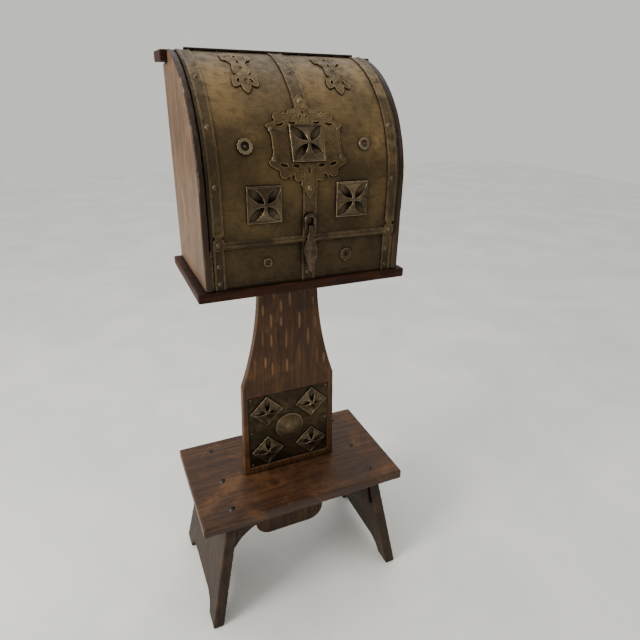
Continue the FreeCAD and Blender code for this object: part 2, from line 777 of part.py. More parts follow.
HALF_BOX = dim("box_width") / 2
INNER_X = HALF_BOX - dim("side_thick")
SHELF_TOP = dim("shelf_top")
TOP_UNDER = dim("top_z") - dim("top_thick")
TOP_FRONT = dim("top_front_y")


def box_side(name, low_x):
    """A side board whose front edge runs up and rolls over with the lid."""
    reach = ROLL_Y - TOP_FRONT
    tip_z = ROLL_Z + (dim("roll_radius") * dim("roll_radius") - reach * reach).root()
    outline = [
        (dim("back_y"), SHELF_TOP),
        (dim("back_y"), TOP_UNDER),
        (TOP_FRONT, TOP_UNDER),
        (TOP_FRONT, tip_z),
        (dim("front_y"), ROLL_Z, ROLL_Y, ROLL_Z, 1),
        (dim("front_y"), SHELF_TOP),
    ]
    return keep(name, slab(name, "YZ", outline, low_x, dim("side_thick")))


box_side("side_left", -HALF_BOX)
box_side("side_right", INNER_X)
keep("back_board", box(
    "back_board",
    (-INNER_X, INNER_X),
    (dim("back_y") - dim("back_thick"), dim("back_y")),
    (SHELF_TOP, TOP_UNDER),
))

half_top = dim("top_width") / 2
half_slot = dim("slot_length") / 2
slot_front = dim("slot_y") - dim("slot_width") / 2
slot_back = dim("slot_y") + dim("slot_width") / 2
coin_slot = rectangle(-half_slot, half_slot, slot_front, slot_back)
top_board = slab(
    "top_board", "XY",
    rectangle(-half_top, half_top, TOP_FRONT, TOP_FRONT + dim("top_depth")),
    TOP_UNDER, dim("top_thick"), [coin_slot],
)
top_board_upper = dim("top_thick").number - 1
round_edges(
    top_board, 2.5,
    lambda middle: middle.z > top_board_upper and (abs(middle.x) > 100 or middle.y > 100),
)
keep("top_board", top_board)

plate_rim = dim("slot_plate_rim")
slot_plate = slab(
    "slot_plate", "XY",
    rectangle(-half_slot - plate_rim, half_slot + plate_rim, slot_front - plate_rim, slot_back + plate_rim),
    dim("top_z"), dim("strap_thick"), [coin_slot],
)
keep("slot_plate", slot_plate)

# ---- fixed lower panel ----

PANEL_FACE = dim("panel_face_y")
PANEL_BACK = PANEL_FACE + dim("panel_thick")
SHEET_FACE = PANEL_FACE - dim("skin")
STRAP_FACE = SHEET_FACE - dim("strap_thick")
KEY_X = dim("boss_x")
KEY_Z = dim("keyhole_z")
LOCK_FRONT = dim("lock_front_y")
LOCK_BACK = dim("lock_back_y")
LOCK_X = (-14, 98)
LOCK_Z = (866, 907)
WALL = dim("lock_wall")
KEY_CLEAR = dim("plug_radius") + 2
half_staple_slot = dim("staple_slot_width") / 2
STAPLE_SLOT_X = (-half_staple_slot, half_staple_slot)
STAPLE_SLOT_Z = (dim("staple_slot_low"), dim("staple_slot_high"))
staple_slot = box("staple_slot", STAPLE_SLOT_X, (STRAP_FACE - 3, LOCK_FRONT + WALL + 1), STAPLE_SLOT_Z)
key_bore = rod("key_bore", "y", KEY_CLEAR, 10, (KEY_X, SHEET_FACE - 2, KEY_Z))

PANEL_TOP = dim("panel_top")
panel_board = box("panel_board", (-INNER_X, INNER_X), (PANEL_FACE, PANEL_BACK), (SHELF_TOP, PANEL_TOP))
lock_pocket = box("lock_pocket", LOCK_X, (LOCK_FRONT, PANEL_BACK + 1), LOCK_Z)
keep("lower_panel", combine("Cut", "lower_panel", panel_board, lock_pocket, staple_slot, key_bore))

sheet_x = INNER_X - dim("panel_margin")
panel_sheet = box("panel_sheet", (-sheet_x, sheet_x), (SHEET_FACE, PANEL_FACE), (SHELF_TOP, PANEL_TOP))
slit = box("slit", (0, 5), (SHEET_FACE - 1, PANEL_FACE + 1), (0, 15))
slit.Placement.Base = FreeCAD.Vector(113, 0, 860)
slit.Placement.Rotation = FreeCAD.Rotation(FreeCAD.Vector(0, 1, 0), 22)
strap_gap = dim("strap_x") - dim("strap_width") / 2
centre_gap = dim("centre_strap_width") / 2
BAND_Y = (SHEET_FACE - dim("foot_band_rise"), SHEET_FACE)
BAND_Z = (SHELF_TOP, SHELF_TOP + dim("foot_band"))
band_left = box("foot_band_left", (-strap_gap, -centre_gap), BAND_Y, BAND_Z)
band_right = box("foot_band_right", (centre_gap, strap_gap), BAND_Y, BAND_Z)
banded_sheet = combine("Fuse", "banded_sheet", panel_sheet, band_left, band_right)
keep("lower_sheet", combine("Cut", "lower_sheet", banded_sheet, staple_slot, key_bore, slit))

RIDGE_WIDTH = 2.6
RIDGE_RISE = 0.7


def flat_strap(name, middle_x, width, back_y, low_z, high_z):
    """An upright strap with a raised line along each edge."""
    half = width / 2
    thick = dim("strap_thick")
    span_z = (low_z, high_z)
    ridge_y = (back_y - thick - RIDGE_RISE, back_y)
    web = box(name + "_web", (middle_x - half, middle_x + half), (back_y - thick, back_y), span_z)
    left = box(name + "_ridge_left", (middle_x - half, middle_x - half + RIDGE_WIDTH), ridge_y, span_z)
    right = box(name + "_ridge_right", (middle_x + half - RIDGE_WIDTH, middle_x + half), ridge_y, span_z)
    return combine("Fuse", name, web, left, right)


lower_straps = doc.addObject("Part::Compound", "lower_side_straps")
lower_straps.Links = [
    flat_strap("lower_strap_left", -dim("strap_x"), dim("strap_width"), SHEET_FACE, SHELF_TOP, PANEL_TOP),
    flat_strap("lower_strap_right", dim("strap_x"), dim("strap_width"), SHEET_FACE, SHELF_TOP, PANEL_TOP),
]
keep("lower_side_straps", lower_straps)
centre_wide = dim("centre_strap_width")
lower_centre = flat_strap("lower_centre", as_size(0), centre_wide, SHEET_FACE, SHELF_TOP, PANEL_TOP)
keep("lower_centre_strap", combine("Cut", "lower_centre_strap", lower_centre, staple_slot))

# Right half of the escutcheon's shield, downwards from its middle: x, height, bulge.
SHIELD = ((0, 12, 0), (11.8, 0.5, 0.4), (8, -8.5, 0.12), (0, -15, -0.04))
escutcheon_plate = padded("escutcheon_plate", "XY_Plane", [mirrored_loop(SHIELD)], dim("escutcheon_thick"))
shield_inside = mirrored_loop([(0.8 * x, 0.8 * z, bulge) for x, z, bulge in SHIELD])
shield_field = padded("shield_field", "XY_Plane", [shield_inside], 5)
shield_field.Placement.Base = FreeCAD.Vector(0, 0, 1.1)
key_collar = rod("key_collar", "z", 7.4, dim("escutcheon_thick"), (0, 0, 0))
shield_tray = combine("Cut", "shield_tray", escutcheon_plate, shield_field)
escutcheon = combine("Fuse", "escutcheon", shield_tray, key_collar)
PLUG = dim("plug_radius")
GAP = dim("running_gap")
escutcheon.Placement = facing_front(KEY_X.number, SHEET_FACE.number, KEY_Z.number)
plug_bore = rod("plug_bore", "y", PLUG + GAP, 20, (KEY_X, SHEET_FACE - 10, KEY_Z))
keep("keyhole_escutcheon", combine("Cut", "keyhole_escutcheon", escutcheon, plug_bore))

boss_ring = doc.addObject("Part::Torus", "boss_ring")
boss_ring.Radius1 = 7
boss_ring.Radius2 = 2.8
boss_ring.Placement = facing_front(-KEY_X.number, SHEET_FACE.number, KEY_Z.number)
boss_back = box(
    "boss_back", (-KEY_X - 12, 12 - KEY_X), (SHEET_FACE, SHEET_FACE + 6), (KEY_Z - 12, KEY_Z + 12),
)
half_ring = combine("Cut", "half_ring", boss_ring, boss_back)
boss_disc = rod("boss_disc", "y", 8.4, 0.6, (-KEY_X, SHEET_FACE - 0.6, KEY_Z))
boss_centre = nail("boss_centre", 1.8, 1.8, 1, 2)
boss_centre.Placement = facing_front(-KEY_X.number, SHEET_FACE.number, KEY_Z.number)
keep("ring_boss", combine("Fuse", "ring_boss", half_ring, boss_disc, boss_centre))

# ---- lock behind the lower panel ----

BOLT_FRONT = dim("bolt_y")
BOLT_BACK = BOLT_FRONT + dim("bolt_thick")
BOLT_LOW = dim("bolt_z") - dim("bolt_height") / 2
BOLT_HIGH = dim("bolt_z") + dim("bolt_height") / 2
GUIDE_GAP = 0.1

case_block = box("case_block", LOCK_X, (LOCK_FRONT, LOCK_BACK), LOCK_Z)
case_hollow = box(
    "case_hollow", (LOCK_X[0] + WALL, LOCK_X[1] - WALL), (LOCK_FRONT + WALL, LOCK_BACK + 1),
    (LOCK_Z[0] + WALL, LOCK_Z[1] - WALL),
)
case_shell = combine("Cut", "case_shell", case_block, case_hollow, staple_slot)
guides = []
for number, low_x in enumerate((14, 54)):
    guides.append(box(
        f"guide_{number}",
        (low_x, low_x + 6),
        (LOCK_FRONT + WALL, LOCK_BACK - 0.5),
        (LOCK_Z[0] + WALL, BOLT_HIGH + 4),
    ))
guided_case = combine("Fuse", "guided_case", case_shell, *guides)
bolt_channel = box(
    "bolt_channel",
    (10, 70),
    (BOLT_FRONT - GUIDE_GAP, BOLT_BACK + GUIDE_GAP),
    (BOLT_LOW - GUIDE_GAP, BOLT_HIGH + GUIDE_GAP),
)
keep("lock_case", combine("Cut", "lock_case", guided_case, bolt_channel, plug_bore))

COVER_THICK = 1.2
COVER_BACK = LOCK_BACK + COVER_THICK
keep("lock_cover", box("lock_cover", (LOCK_X[0] - 6, LOCK_X[1] + 6), (LOCK_BACK, COVER_BACK), (860, 913)))

crank = dim("crank_radius")
crank_pin = dim("crank_pin_radius")
PIN_X = KEY_X + crank * cosine(45)
PIN_Z = KEY_Z - crank * cosine(45)
ARM_THICK = 1.3
ARM_BACK = LOCK_BACK - 0.5
ARM_FRONT = ARM_BACK - ARM_THICK
PLUG_FACE = SHEET_FACE - 2.9
PLUG_END = BOLT_FRONT - 0.8
barrel = rod("barrel", "y", PLUG, PLUG_END - PLUG_FACE, (KEY_X, PLUG_FACE, KEY_Z))
tail = rod("tail", "y", 2.5, ARM_BACK - PLUG_END, (KEY_X, PLUG_END, KEY_Z))
arm = doc.addObject("Part::Box", "arm")
bind(arm, "Length", crank)
bind(arm, "Width", ARM_THICK)
bind(arm, "Height", 4)
arm.Placement.Rotation = FreeCAD.Rotation(FreeCAD.Vector(0, 1, 0), 45)
bind(arm, "Placement.Base.x", KEY_X - 2 * sine(45))
bind(arm, "Placement.Base.y", ARM_FRONT)
bind(arm, "Placement.Base.z", KEY_Z - 2 * cosine(45))
arm_end = rod("arm_end", "y", 2.6, ARM_THICK, (PIN_X, ARM_FRONT, PIN_Z))
pin = rod("pin", "y", crank_pin, ARM_BACK - BOLT_FRONT, (PIN_X, BOLT_FRONT, PIN_Z))
KEYWAY_Y = (PLUG_FACE - 1, PLUG_FACE + 6)
key_slot = box("key_slot", (KEY_X - 0.9, KEY_X + 0.9), KEYWAY_Y, (KEY_Z - 4.5, KEY_Z + 1))
key_round = rod("key_round", "y", 1.9, 7, (KEY_X, PLUG_FACE - 1, KEY_Z + 1.4))
plug_solid = combine("Fuse", "plug_solid", barrel, tail, arm, arm_end, pin)
keep("lock_plug", combine("Cut", "lock_plug", plug_solid, key_slot, key_round))

BOLT_TIP = dim("bolt_tip_x")
bolt_bar = box("bolt_bar", (BOLT_TIP, 90), (BOLT_FRONT, BOLT_BACK), (BOLT_LOW, BOLT_HIGH))
yoke = box("yoke", (80, 92.5), (BOLT_FRONT, BOLT_BACK), (873.5, BOLT_HIGH))
notch_half = crank_pin + 0.5
notch = box(
    "notch",
    (PIN_X - notch_half, PIN_X + notch_half),
    (BOLT_FRONT - 1, BOLT_BACK + 1),
    (877.3, BOLT_HIGH + 1),
)
bolt_blank = combine("Fuse", "bolt_blank", bolt_bar, yoke)
keep("lock_bolt", combine("Cut", "lock_bolt", bolt_blank, notch))

# ---- continuous hinge ----

HINGE_Y = dim("hinge_y")
HINGE_Z = dim("hinge_z")
KNUCKLE = dim("knuckle_radius")
LEAF = dim("leaf_thick")
LID_LEAF_FRONT = HINGE_Y - KNUCKLE
half_hinge = dim("hinge_length") / 2
pitch = dim("hinge_length") / dim("knuckles")
KNUCKLE_GAP = 0.15


def hinge_leaf(name, first, front_y, bore):
    """One leaf of the hinge with every second knuckle, starting at number first."""
    span_y = (front_y, front_y + LEAF)
    plate_top = HINGE_Z - KNUCKLE - 0.4
    plate = box(name + "_plate", (-half_hinge, half_hinge), span_y, (HINGE_Z - dim("leaf_height"), plate_top))
    parts = [plate]
    for number in range(first, int(dim("knuckles").number), 2):
        low_x = number * pitch - half_hinge + KNUCKLE_GAP
        high_x = low_x + pitch - 2 * KNUCKLE_GAP
        parts.append(box(f"{name}_tab_{number}", (low_x, high_x), span_y, (plate_top, HINGE_Z)))
        parts.append(rod(f"{name}_knuckle_{number}", "x", KNUCKLE, high_x - low_x, (low_x, HINGE_Y, HINGE_Z)))
    whole = doc.addObject("Part::MultiFuse", name + "_whole")
    whole.Shapes = parts
    hole = rod(name + "_bore", "x", bore, 2 * half_hinge + 2, (-half_hinge - 1, HINGE_Y, HINGE_Z))
    return keep(name, combine("Cut", name, whole, hole))


PIN_RADIUS = dim("hinge_pin_radius")
hinge_leaf("hinge_leaf_fixed", 0, TOP_FRONT - LEAF, PIN_RADIUS)
hinge_leaf("hinge_leaf_lid", 1, LID_LEAF_FRONT, PIN_RADIUS + GAP)
pin_start = (-half_hinge - 0.5, HINGE_Y, HINGE_Z)
keep("hinge_pin", rod("hinge_pin", "x", PIN_RADIUS, 2 * half_hinge + 1, pin_start))

# ---- lid ----

LID_X = INNER_X - dim("lid_gap")
LID_LOW = dim("lid_bottom")
LID_TURN = dim("lid_top_angle")
SKIN = dim("skin")
RIB_X = LID_X - dim("rib_width")
RIB_INSIDE = -SKIN - dim("rib_depth")
STRAP = dim("strap_thick")
RIDGE = STRAP + RIDGE_RISE

ribs = doc.addObject("Part::Compound", "lid_ribs")
ribs.Links = [
    curved_band("rib_left", -LID_X, dim("rib_width"), RIB_INSIDE, -SKIN, LID_LOW, LID_TURN - 1.2),
    curved_band("rib_right", RIB_X, dim("rib_width"), RIB_INSIDE, -SKIN, LID_LOW, LID_TURN - 1.2),
]
keep("lid_ribs", ribs)

RAIL_FRONT = LID_LEAF_FRONT - 20
RAIL_LOW = 1222


def under_skin(y):
    """Height of the skin's inner face at y on the roll."""
    radius = dim("roll_radius") - SKIN
    return ROLL_Z + (radius * radius - (ROLL_Y - y) * (ROLL_Y - y)).root()


top_rail = slab("lid_top_rail", "YZ", [
    (RAIL_FRONT, RAIL_LOW),
    (LID_LEAF_FRONT, RAIL_LOW),
    (LID_LEAF_FRONT, under_skin(LID_LEAF_FRONT)),
    (RAIL_FRONT, under_skin(RAIL_FRONT), ROLL_Y, ROLL_Z, 1),
], -RIB_X, 2 * RIB_X)
keep("lid_top_rail", top_rail)
FRONT = dim("front_y")
bottom_rail = box("lid_bottom_rail", (-RIB_X, RIB_X), (FRONT + SKIN, FRONT + SKIN + 18), (LID_LOW, 945))
keep("lid_bottom_rail", bottom_rail)
keep("lid_sheet", curved_band("lid_sheet", -LID_X, 2 * LID_X, -SKIN, 0, LID_LOW, LID_TURN))
EDGE = dim("edging_width")
edges = doc.addObject("Part::Compound", "lid_edges")
edges.Links = [
    curved_band("edge_left", -LID_X, EDGE, 0, dim("edging_rise"), LID_LOW, LID_TURN),
    curved_band("edge_right", LID_X - EDGE, EDGE, 0, dim("edging_rise"), LID_LOW, LID_TURN),
]
keep("lid_edges", edges)


def lid_strap(name, middle_x, width, top_angle):
    """A strap bent over the lid with a raised line along each edge."""
    low_x = middle_x - width / 2
    high_x = middle_x + width / 2 - RIDGE_WIDTH
    web = curved_band(name + "_web", low_x, width, 0, STRAP, LID_LOW, top_angle)
    near = curved_band(name + "_near", low_x, RIDGE_WIDTH, 0, RIDGE, LID_LOW, top_angle)
    far = curved_band(name + "_far", high_x, RIDGE_WIDTH, 0, RIDGE, LID_LOW, top_angle)
    return combine("Fuse", name + "_blank", web, near, far)


STRAP_TURN = LID_TURN - 0.6
for name, hand in (("strap_left", -1), ("strap_right", 1)):
    strap = lid_strap(name, hand * dim("strap_x"), dim("strap_width"), STRAP_TURN)
    bites = []
    for side, x in enumerate((162, 181)):
        bites.append(rod(f"{name}_bite_{side}", "y", 4.2, 12, (hand * x, FRONT - 8, 944)))
        bites.append(rod(f"{name}_nick_{side}", "y", 3, 12, (hand * x, FRONT - 8, LID_LOW)))
    keep(name, combine("Cut", name, strap, *bites))
strap_centre = lid_strap("strap_centre", as_size(0), dim("centre_strap_width"), STRAP_TURN)
keep("strap_centre", strap_centre)

bead_half = dim("moulding_radius")
bead_rise = dim("moulding_rise")
bead_radius = (bead_half * bead_half + bead_rise * bead_rise) / (2 * bead_rise)
bead_x = dim("strap_x") - dim("strap_width") / 2 - 0.5
bead_start = (-bead_x, FRONT - bead_rise + bead_radius, dim("moulding_z"))
bead = rod("bead", "x", bead_radius, 2 * bead_x, bead_start)
bead_front = box("bead_front", (-bead_x, bead_x), (FRONT - 10, FRONT), (900, 960))
bead_solid = combine("Common", "bead_solid", bead, bead_front)
keep("seam_moulding", combine("Cut", "seam_moulding", bead_solid, strap_centre))

# Right half of the cartouche from its upper to its lower tip: x, height above its middle, bulge.
CARTOUCHE = (
    (0, 94, 0), (7, 85, -0.15), (12, 76, 0.25), (11, 68, 0.1), (15.5, 62, -0.3), (23, 60, -0.1),
    (30, 52, 0.45), (35, 57, -0.2), (38.5, 53.5, 0), (46, 56, -0.15), (57, 48, 0.45), (55, 42, 0.2),
    (60, 38, -0.3), (69, 35, 0), (73, 30, 0.4), (66.5, 20, -0.2), (65, 14, 0), (65, -14, 0), (67, -21, 0),
    (74, -28, -0.25), (69, -38, 0.4), (62, -42, 0), (56, -46, -0.2), (55.5, -52, 0.1), (48, -58.5, 0.4),
    (41.5, -57, 0.2), (38, -54.5, -0.2), (36, -61, 0.1), (28.5, -51, -0.25), (29, -58, 0.2),
    (21, -64.5, 0.4), (16, -63, 0.1), (16.5, -70, -0.2), (11, -75, 0.3), (8, -84, 0), (0, -96, 0.12),
)
# Slits and crescents of its right half: x, height, length, heading.
CRESCENTS = ((47, 36, 17, -12), (23, 38.5, 15, 8))
SLITS = ((47, -36, 16, 14), (24, -37.5, 14, 8))
cartouche_holes = [ring(0, 55, 2.4), ring(-6, 47, 2), ring(6, 47, 2), lens(0, -46, 11, 6, 90)]
for x, up, length, heading in CRESCENTS:
    cartouche_holes.append(crescent(x, up, length, heading))
    cartouche_holes.append(crescent(-x, up, length, -heading))
for x, up, length, heading in SLITS:
    cartouche_holes.append(lens(x, up, length, 5.5, heading))
    cartouche_holes.append(lens(-x, up, length, 5.5, -heading))
cartouche_plate = skin_plate(
    "cartouche_plate",
    0,
    dim("cartouche_up").number,
    mirrored_loop(CARTOUCHE),
    cartouche_holes,
    0,
    dim("plate_thick"),
)
keep("cartouche", combine("Cut", "cartouche", cartouche_plate, strap_centre))

# Right half of a mount, from its crown down to its tip, measured from its lower rivet.
MOUNT = (
    (0, 90, 0), (8, 84.5, 0.35), (17, 86, 0.4), (26.5, 77, 0.35), (26, 60, 0.06), (19, 55, 0.2),
    (13, 42, -0.15), (15, 30, 0), (15, 16, 0.1), (10, 12, 0), (17, 8, -0.1), (23, -2, 0.3),
    (20.5, -19, 0.25), (10, -13, 0.25), (8.5, -20, -0.1), (0, -33, 0.12),
)
MOUNT_HOLES = [
    lens(0, 72, 9, 5, 90), ring(-9, 74, 1.8), ring(9, 74, 1.8), ring(-17, 71, 2), ring(17, 71, 2),
    lens(-12, -4, 13, 4.4, 70), lens(12, -4, 13, 4.4, 110), lens(0, 50, 10, 4, 90),
]
MOUNT_UP = dim("mount_up").number
MOUNT_THICK = 2.2
MOUNT_MIDDLE = 28
mount_outline = mirrored_loop([(x, up - MOUNT_MIDDLE, bulge) for x, up, bulge in MOUNT])
mount_holes = []
for hole in MOUNT_HOLES:
    shifted = []
    for x, up, centre_x, centre_up, turn in hole:
        shifted.append((x, up - MOUNT_MIDDLE, centre_x, centre_up - MOUNT_MIDDLE, turn))
    mount_holes.append(shifted)
for name, hand in (("mount_left", -1), ("mount_right", 1)):
    x = hand * dim("mount_x").number
    keep(name, skin_plate(name, x, MOUNT_UP + MOUNT_MIDDLE, mount_outline, mount_holes, 0, MOUNT_THICK))

UPPER = dim("cartouche_up").number
stud_centre = stud("stud_centre_blank", dim("stud_side") - 1, 3)
stud_centre.Placement = on_skin(0, UPPER, lift=dim("plate_thick").number)
skin_round = rod("skin_round", "x", dim("roll_radius") + dim("plate_thick"), 100, (-50, ROLL_Y, ROLL_Z))
keep("stud_centre", combine("Cut", "stud_centre", stud_centre, skin_round))
lower_stud = stud("lower_stud", dim("stud_side"))

PETALS = 12
petal_radius = dim("rosette_radius").number
flower = []
for number in range(PETALS):
    angle = -2 * math.pi * number / PETALS
    flower.append((petal_radius * math.cos(angle), petal_radius * math.sin(angle), 0.55))
flower_disc = padded("flower_disc", "XY_Plane", [bulged(flower)], 4.5)
flower_dish = rod("flower_dish", "z", 8, 5, (0, 0, 1))
flower_nail = nail("flower_nail", 3.2, 2.6, 1.5, 0.9)
flower_nail.Placement.Base = FreeCAD.Vector(0, 0, 1)
flower_ring = combine("Cut", "flower_ring", flower_disc, flower_dish)
rosette_flower = combine("Fuse", "rosette_flower", flower_ring, flower_nail)
plain_ring = doc.addObject("Part::Torus", "plain_ring")
plain_ring.Radius1 = 8.6
plain_ring.Radius2 = 3.6
plain_disc = rod("plain_disc", "z", 11, 0.6, (0, 0, 0))
below_ring = box("below_ring", (-15, 15), (-15, 15), (-6, 0))
ring_top = combine("Cut", "ring_top", plain_ring, below_ring)
ring_dome = nail("ring_dome", 1.9, 1.4, 1, 0.4)
ring_dome.Placement.Base = FreeCAD.Vector(0, 0, 0.5)
rosette_plain = combine("Fuse", "rosette_plain", plain_disc, ring_top, ring_dome)

# ---- eye and hasp ----

AXIS_Y = dim("hasp_axis_y")
AXIS_Z = dim("hasp_axis_z")
WIRE = dim("eye_wire_radius")
BAR = dim("eye_bar_radius")
EYE = dim("eye_radius")
EYE_Z = dim("eye_z")
eye_top = doc.addObject("Part::Torus", "eye_top")
bind(eye_top, "Radius1", EYE)
bind(eye_top, "Radius2", WIRE)
eye_top.Placement = FreeCAD.Placement(FreeCAD.Vector(), FreeCAD.Rotation(FreeCAD.Vector(1, 0, 0), 90))
bind(eye_top, "Placement.Base.y", AXIS_Y)
bind(eye_top, "Placement.Base.z", EYE_Z)
upper_half = box("upper_half", (-20, 20), (AXIS_Y - 5, AXIS_Y + 5), (EYE_Z, EYE_Z + 20))
eye_parts = [combine("Common", "eye_arch", eye_top, upper_half)]
eye_parts.append(rod("eye_bar", "x", BAR, 2 * EYE, (-EYE, AXIS_Y, AXIS_Z)))
for number, x in enumerate((-EYE, EYE)):
    eye_parts.append(rod(f"eye_side_{number}", "z", WIRE, EYE_Z - AXIS_Z, (x, AXIS_Y, AXIS_Z)))
    eye_parts.append(rod(f"eye_foot_{number}", "y", 3, FRONT - 1 - AXIS_Y, (x, AXIS_Y, EYE_Z - 5)))
    corner = doc.addObject("Part::Sphere", f"eye_corner_{number}")
    bind(corner, "Radius", WIRE)
    for axis, place in zip("xyz", (x, AXIS_Y, AXIS_Z)):
        bind(corner, "Placement.Base." + axis, place)
    eye_parts.append(corner)
eye_whole = doc.addObject("Part::MultiFuse", "eye_whole")
eye_whole.Shapes = eye_parts
keep("hasp_eye", combine("Cut", "hasp_eye", eye_whole, strap_centre))

HOOK = dim("hook_radius")
half_hook = dim("hook_width") / 2
LEAF_FRONT = AXIS_Y - HOOK
HASP_THICK = 3.5
HASP_BEND_Z = 907
HASP_SET_IN = 2
HASP_KICK = 5
HASP_LOW = 866
# Right half of the hasp's face, downwards: x, height, bulge.
HASP = (
    (0, 951, 0), (4, 951, 0), (4, 943, 0), (6, 936, -0.08), (12, 915, -0.08), (13, 905, 0.15), (9, 886, 0),
    (4.6, 869, 0), (0, 866, 0.35),
)
face = padded("hasp_face", "XZ_Plane", [mirrored_loop(HASP)], 30)
face.Placement.Base = FreeCAD.Vector(0, -115, 0)
profile = slab("hasp_profile", "YZ", [
    (LEAF_FRONT, AXIS_Z),
    (LEAF_FRONT + HASP_SET_IN, HASP_BEND_Z),
    (LEAF_FRONT + HASP_SET_IN - HASP_KICK, HASP_LOW),
    (LEAF_FRONT + HASP_SET_IN - HASP_KICK + HASP_THICK, HASP_LOW),
    (LEAF_FRONT + HASP_SET_IN + HASP_THICK, HASP_BEND_Z),
    (LEAF_FRONT + HASP_THICK, AXIS_Z),
], -20, 40)
hasp_leaf = combine("Common", "hasp_leaf", face, profile)
hook = rod("hook", "x", HOOK, 2 * half_hook, (-half_hook, AXIS_Y, AXIS_Z))
hook_bore = rod("hook_bore", "x", BAR + GAP, 40, (-20, AXIS_Y, AXIS_Z))
hasp_blank = combine("Fuse", "hasp_blank", hasp_leaf, hook)
hasp = combine("Cut", "hasp", hasp_blank, hook_bore)
keep("hasp", hasp)

half_staple = dim("staple_thick") / 2
STAPLE_LOW = dim("bolt_z") - dim("staple_height") / 2
STAPLE_HIGH = dim("bolt_z") + dim("staple_height") / 2
staple_block = box(
    "staple_block",
    (-half_staple, half_staple),
    (LEAF_FRONT + 1, dim("staple_tip_y")),
    (STAPLE_LOW, STAPLE_HIGH),
)
staple_eye = box(
    "staple_eye", (-5, 5), (BOLT_FRONT - 0.4, BOLT_BACK + 0.4), (BOLT_LOW - 1, BOLT_HIGH + 1),
)
keep("hasp_staple", combine("Cut", "hasp_staple", staple_block, staple_eye, hasp))

# ---- pieces that are used many times ----

seat_nail = nail("seat_nail", 7.5, 3.6, 2.4, 45)
small_nail = nail("small_nail", 2.6, 1.3, 0.9, 9)
rivet = nail("rivet", 4.6, 2.4, 1.5, 9)
board_nail = nail("board_nail", 3.5, 1.2, 1.4, 36)
long_screw = nail("long_screw", 4, 1.2, 2, 40)
short_screw = nail("short_screw", 2.4, 0.7, 1, 8)
doc.recompute()


def facing_back(x, y, z):
    return FreeCAD.Placement(FreeCAD.Vector(x, y, z), FreeCAD.Rotation(FreeCAD.Vector(1, 0, 0), -90))


def facing_down(x, y, z):
    return FreeCAD.Placement(FreeCAD.Vector(x, y, z), FreeCAD.Rotation(FreeCAD.Vector(1, 0, 0), 180))


SEAT_NAILS = ((177, 110), (175, -10), (177, -108), (-177, 110), (-175, -10), (-177, -108))
copies("seat_nails", seat_nail, [facing_up(x, y, dim("seat_top").number) for x, y in SEAT_NAILS])

plaque_middle = dim("plaque_z").number
spread = dim("plaque_stud_spread").number
plaque_spots = [(x, z) for z in (plaque_middle - spread, plaque_middle + spread) for x in (-spread, spread)]
copies("plaque_studs", plaque_stud, [facing_front(x, PLAQUE_FACE.number, z, 45) for x, z in plaque_spots])
copies("plaque_boss", rimmed_boss, [facing_front(0, PLAQUE_FACE.number, plaque_middle)])
nail_x = dim("plaque_width").number / 2 - 7
nail_z = dim("plaque_height").number / 2 - 7
plaque_corners = [(x, plaque_middle + z) for x in (-nail_x, nail_x) for z in (-nail_z, 0, nail_z)]
copies("plaque_nails", small_nail, [facing_front(x, PLAQUE_FACE.number, z) for x, z in plaque_corners])

shelf_places = [facing_up(x, -5.5, dim("shelf_top").number) for x in (-40, 0, 40)]
side_middle = (HALF_BOX - dim("side_thick") / 2).number
for x in (-side_middle, side_middle):
    shelf_places += [facing_down(x, y, SHELF_UNDER.number) for y in (-85, 70)]
copies("shelf_screws", long_screw, shelf_places)

top_z = dim("top_z").number
top_spots = [(x, y) for x in (-side_middle, side_middle) for y in (76, 112)]
copies("top_nails", board_nail, [facing_up(x, y, top_z) for x, y in top_spots])
slot_mid = dim("slot_y").number
plate_top = top_z + STRAP.number
slot_spots = ((-44.5, slot_mid), (44.5, slot_mid))
copies("slot_nails", small_nail, [facing_up(x, y, plate_top) for x, y in slot_spots])

strap_mid = dim("strap_x").number
lower_spots = [(x, z) for x in (-strap_mid, strap_mid) for z in (857, 890)] + [(0, 861), (0, 913)]
copies("lower_rivets", rivet, [facing_front(x, STRAP_FACE.number, z) for x, z in lower_spots])
lock_corners = ((-17, 863), (-17, 910), (101, 863), (101, 910))
copies("lock_screws", short_screw, [facing_back(x, COVER_BACK.number, z) for x, z in lock_corners])

leaf_z = HINGE_Z.number - 11
fixed_face = (TOP_FRONT - LEAF).number
lid_face = (LID_LEAF_FRONT + LEAF).number
fixed_leaf_x = (-150, -90, -30, 30, 90, 150)
copies("hinge_screws_fixed", short_screw, [facing_front(x, fixed_face, leaf_z) for x in fixed_leaf_x])
copies("hinge_screws_lid", short_screw, [facing_back(x, lid_face, leaf_z) for x in (-120, -60, 0, 60, 120)])

strap_lift = STRAP.number
plate_lift = dim("plate_thick").number
rivet_places = []
for x in (-strap_mid, strap_mid):
    for up in (208, 110, 13, -86):
        rivet_places.append(on_skin(x, up, strap_lift))
rivet_places.append(on_skin(0, 225, strap_lift))
for x, up in ((0, 77), (0, -76), (-64.5, 24), (64.5, 24), (-64.5, -24.5), (64.5, -24.5)):
    rivet_places.append(on_skin(x, UPPER + up, plate_lift))
for x in (-dim("mount_x").number, dim("mount_x").number):
    for up in (0, 32):
        rivet_places.append(on_skin(x, MOUNT_UP + up, MOUNT_THICK))
copies("lid_rivets", rivet, rivet_places)

stud_x = dim("stud_x").number
stud_up = dim("stud_up").number
copies("stud_left", lower_stud, [on_skin(-stud_x, stud_up)])
copies("stud_right", lower_stud, [on_skin(stud_x, stud_up)])
rosette_x = dim("rosette_x").number
rosette_up = dim("rosette_up").number
copies("rosette_left", rosette_flower, [on_skin(-rosette_x, rosette_up)])
copies("rosette_right", rosette_plain, [on_skin(rosette_x, rosette_up)])

# ---- check and export ----

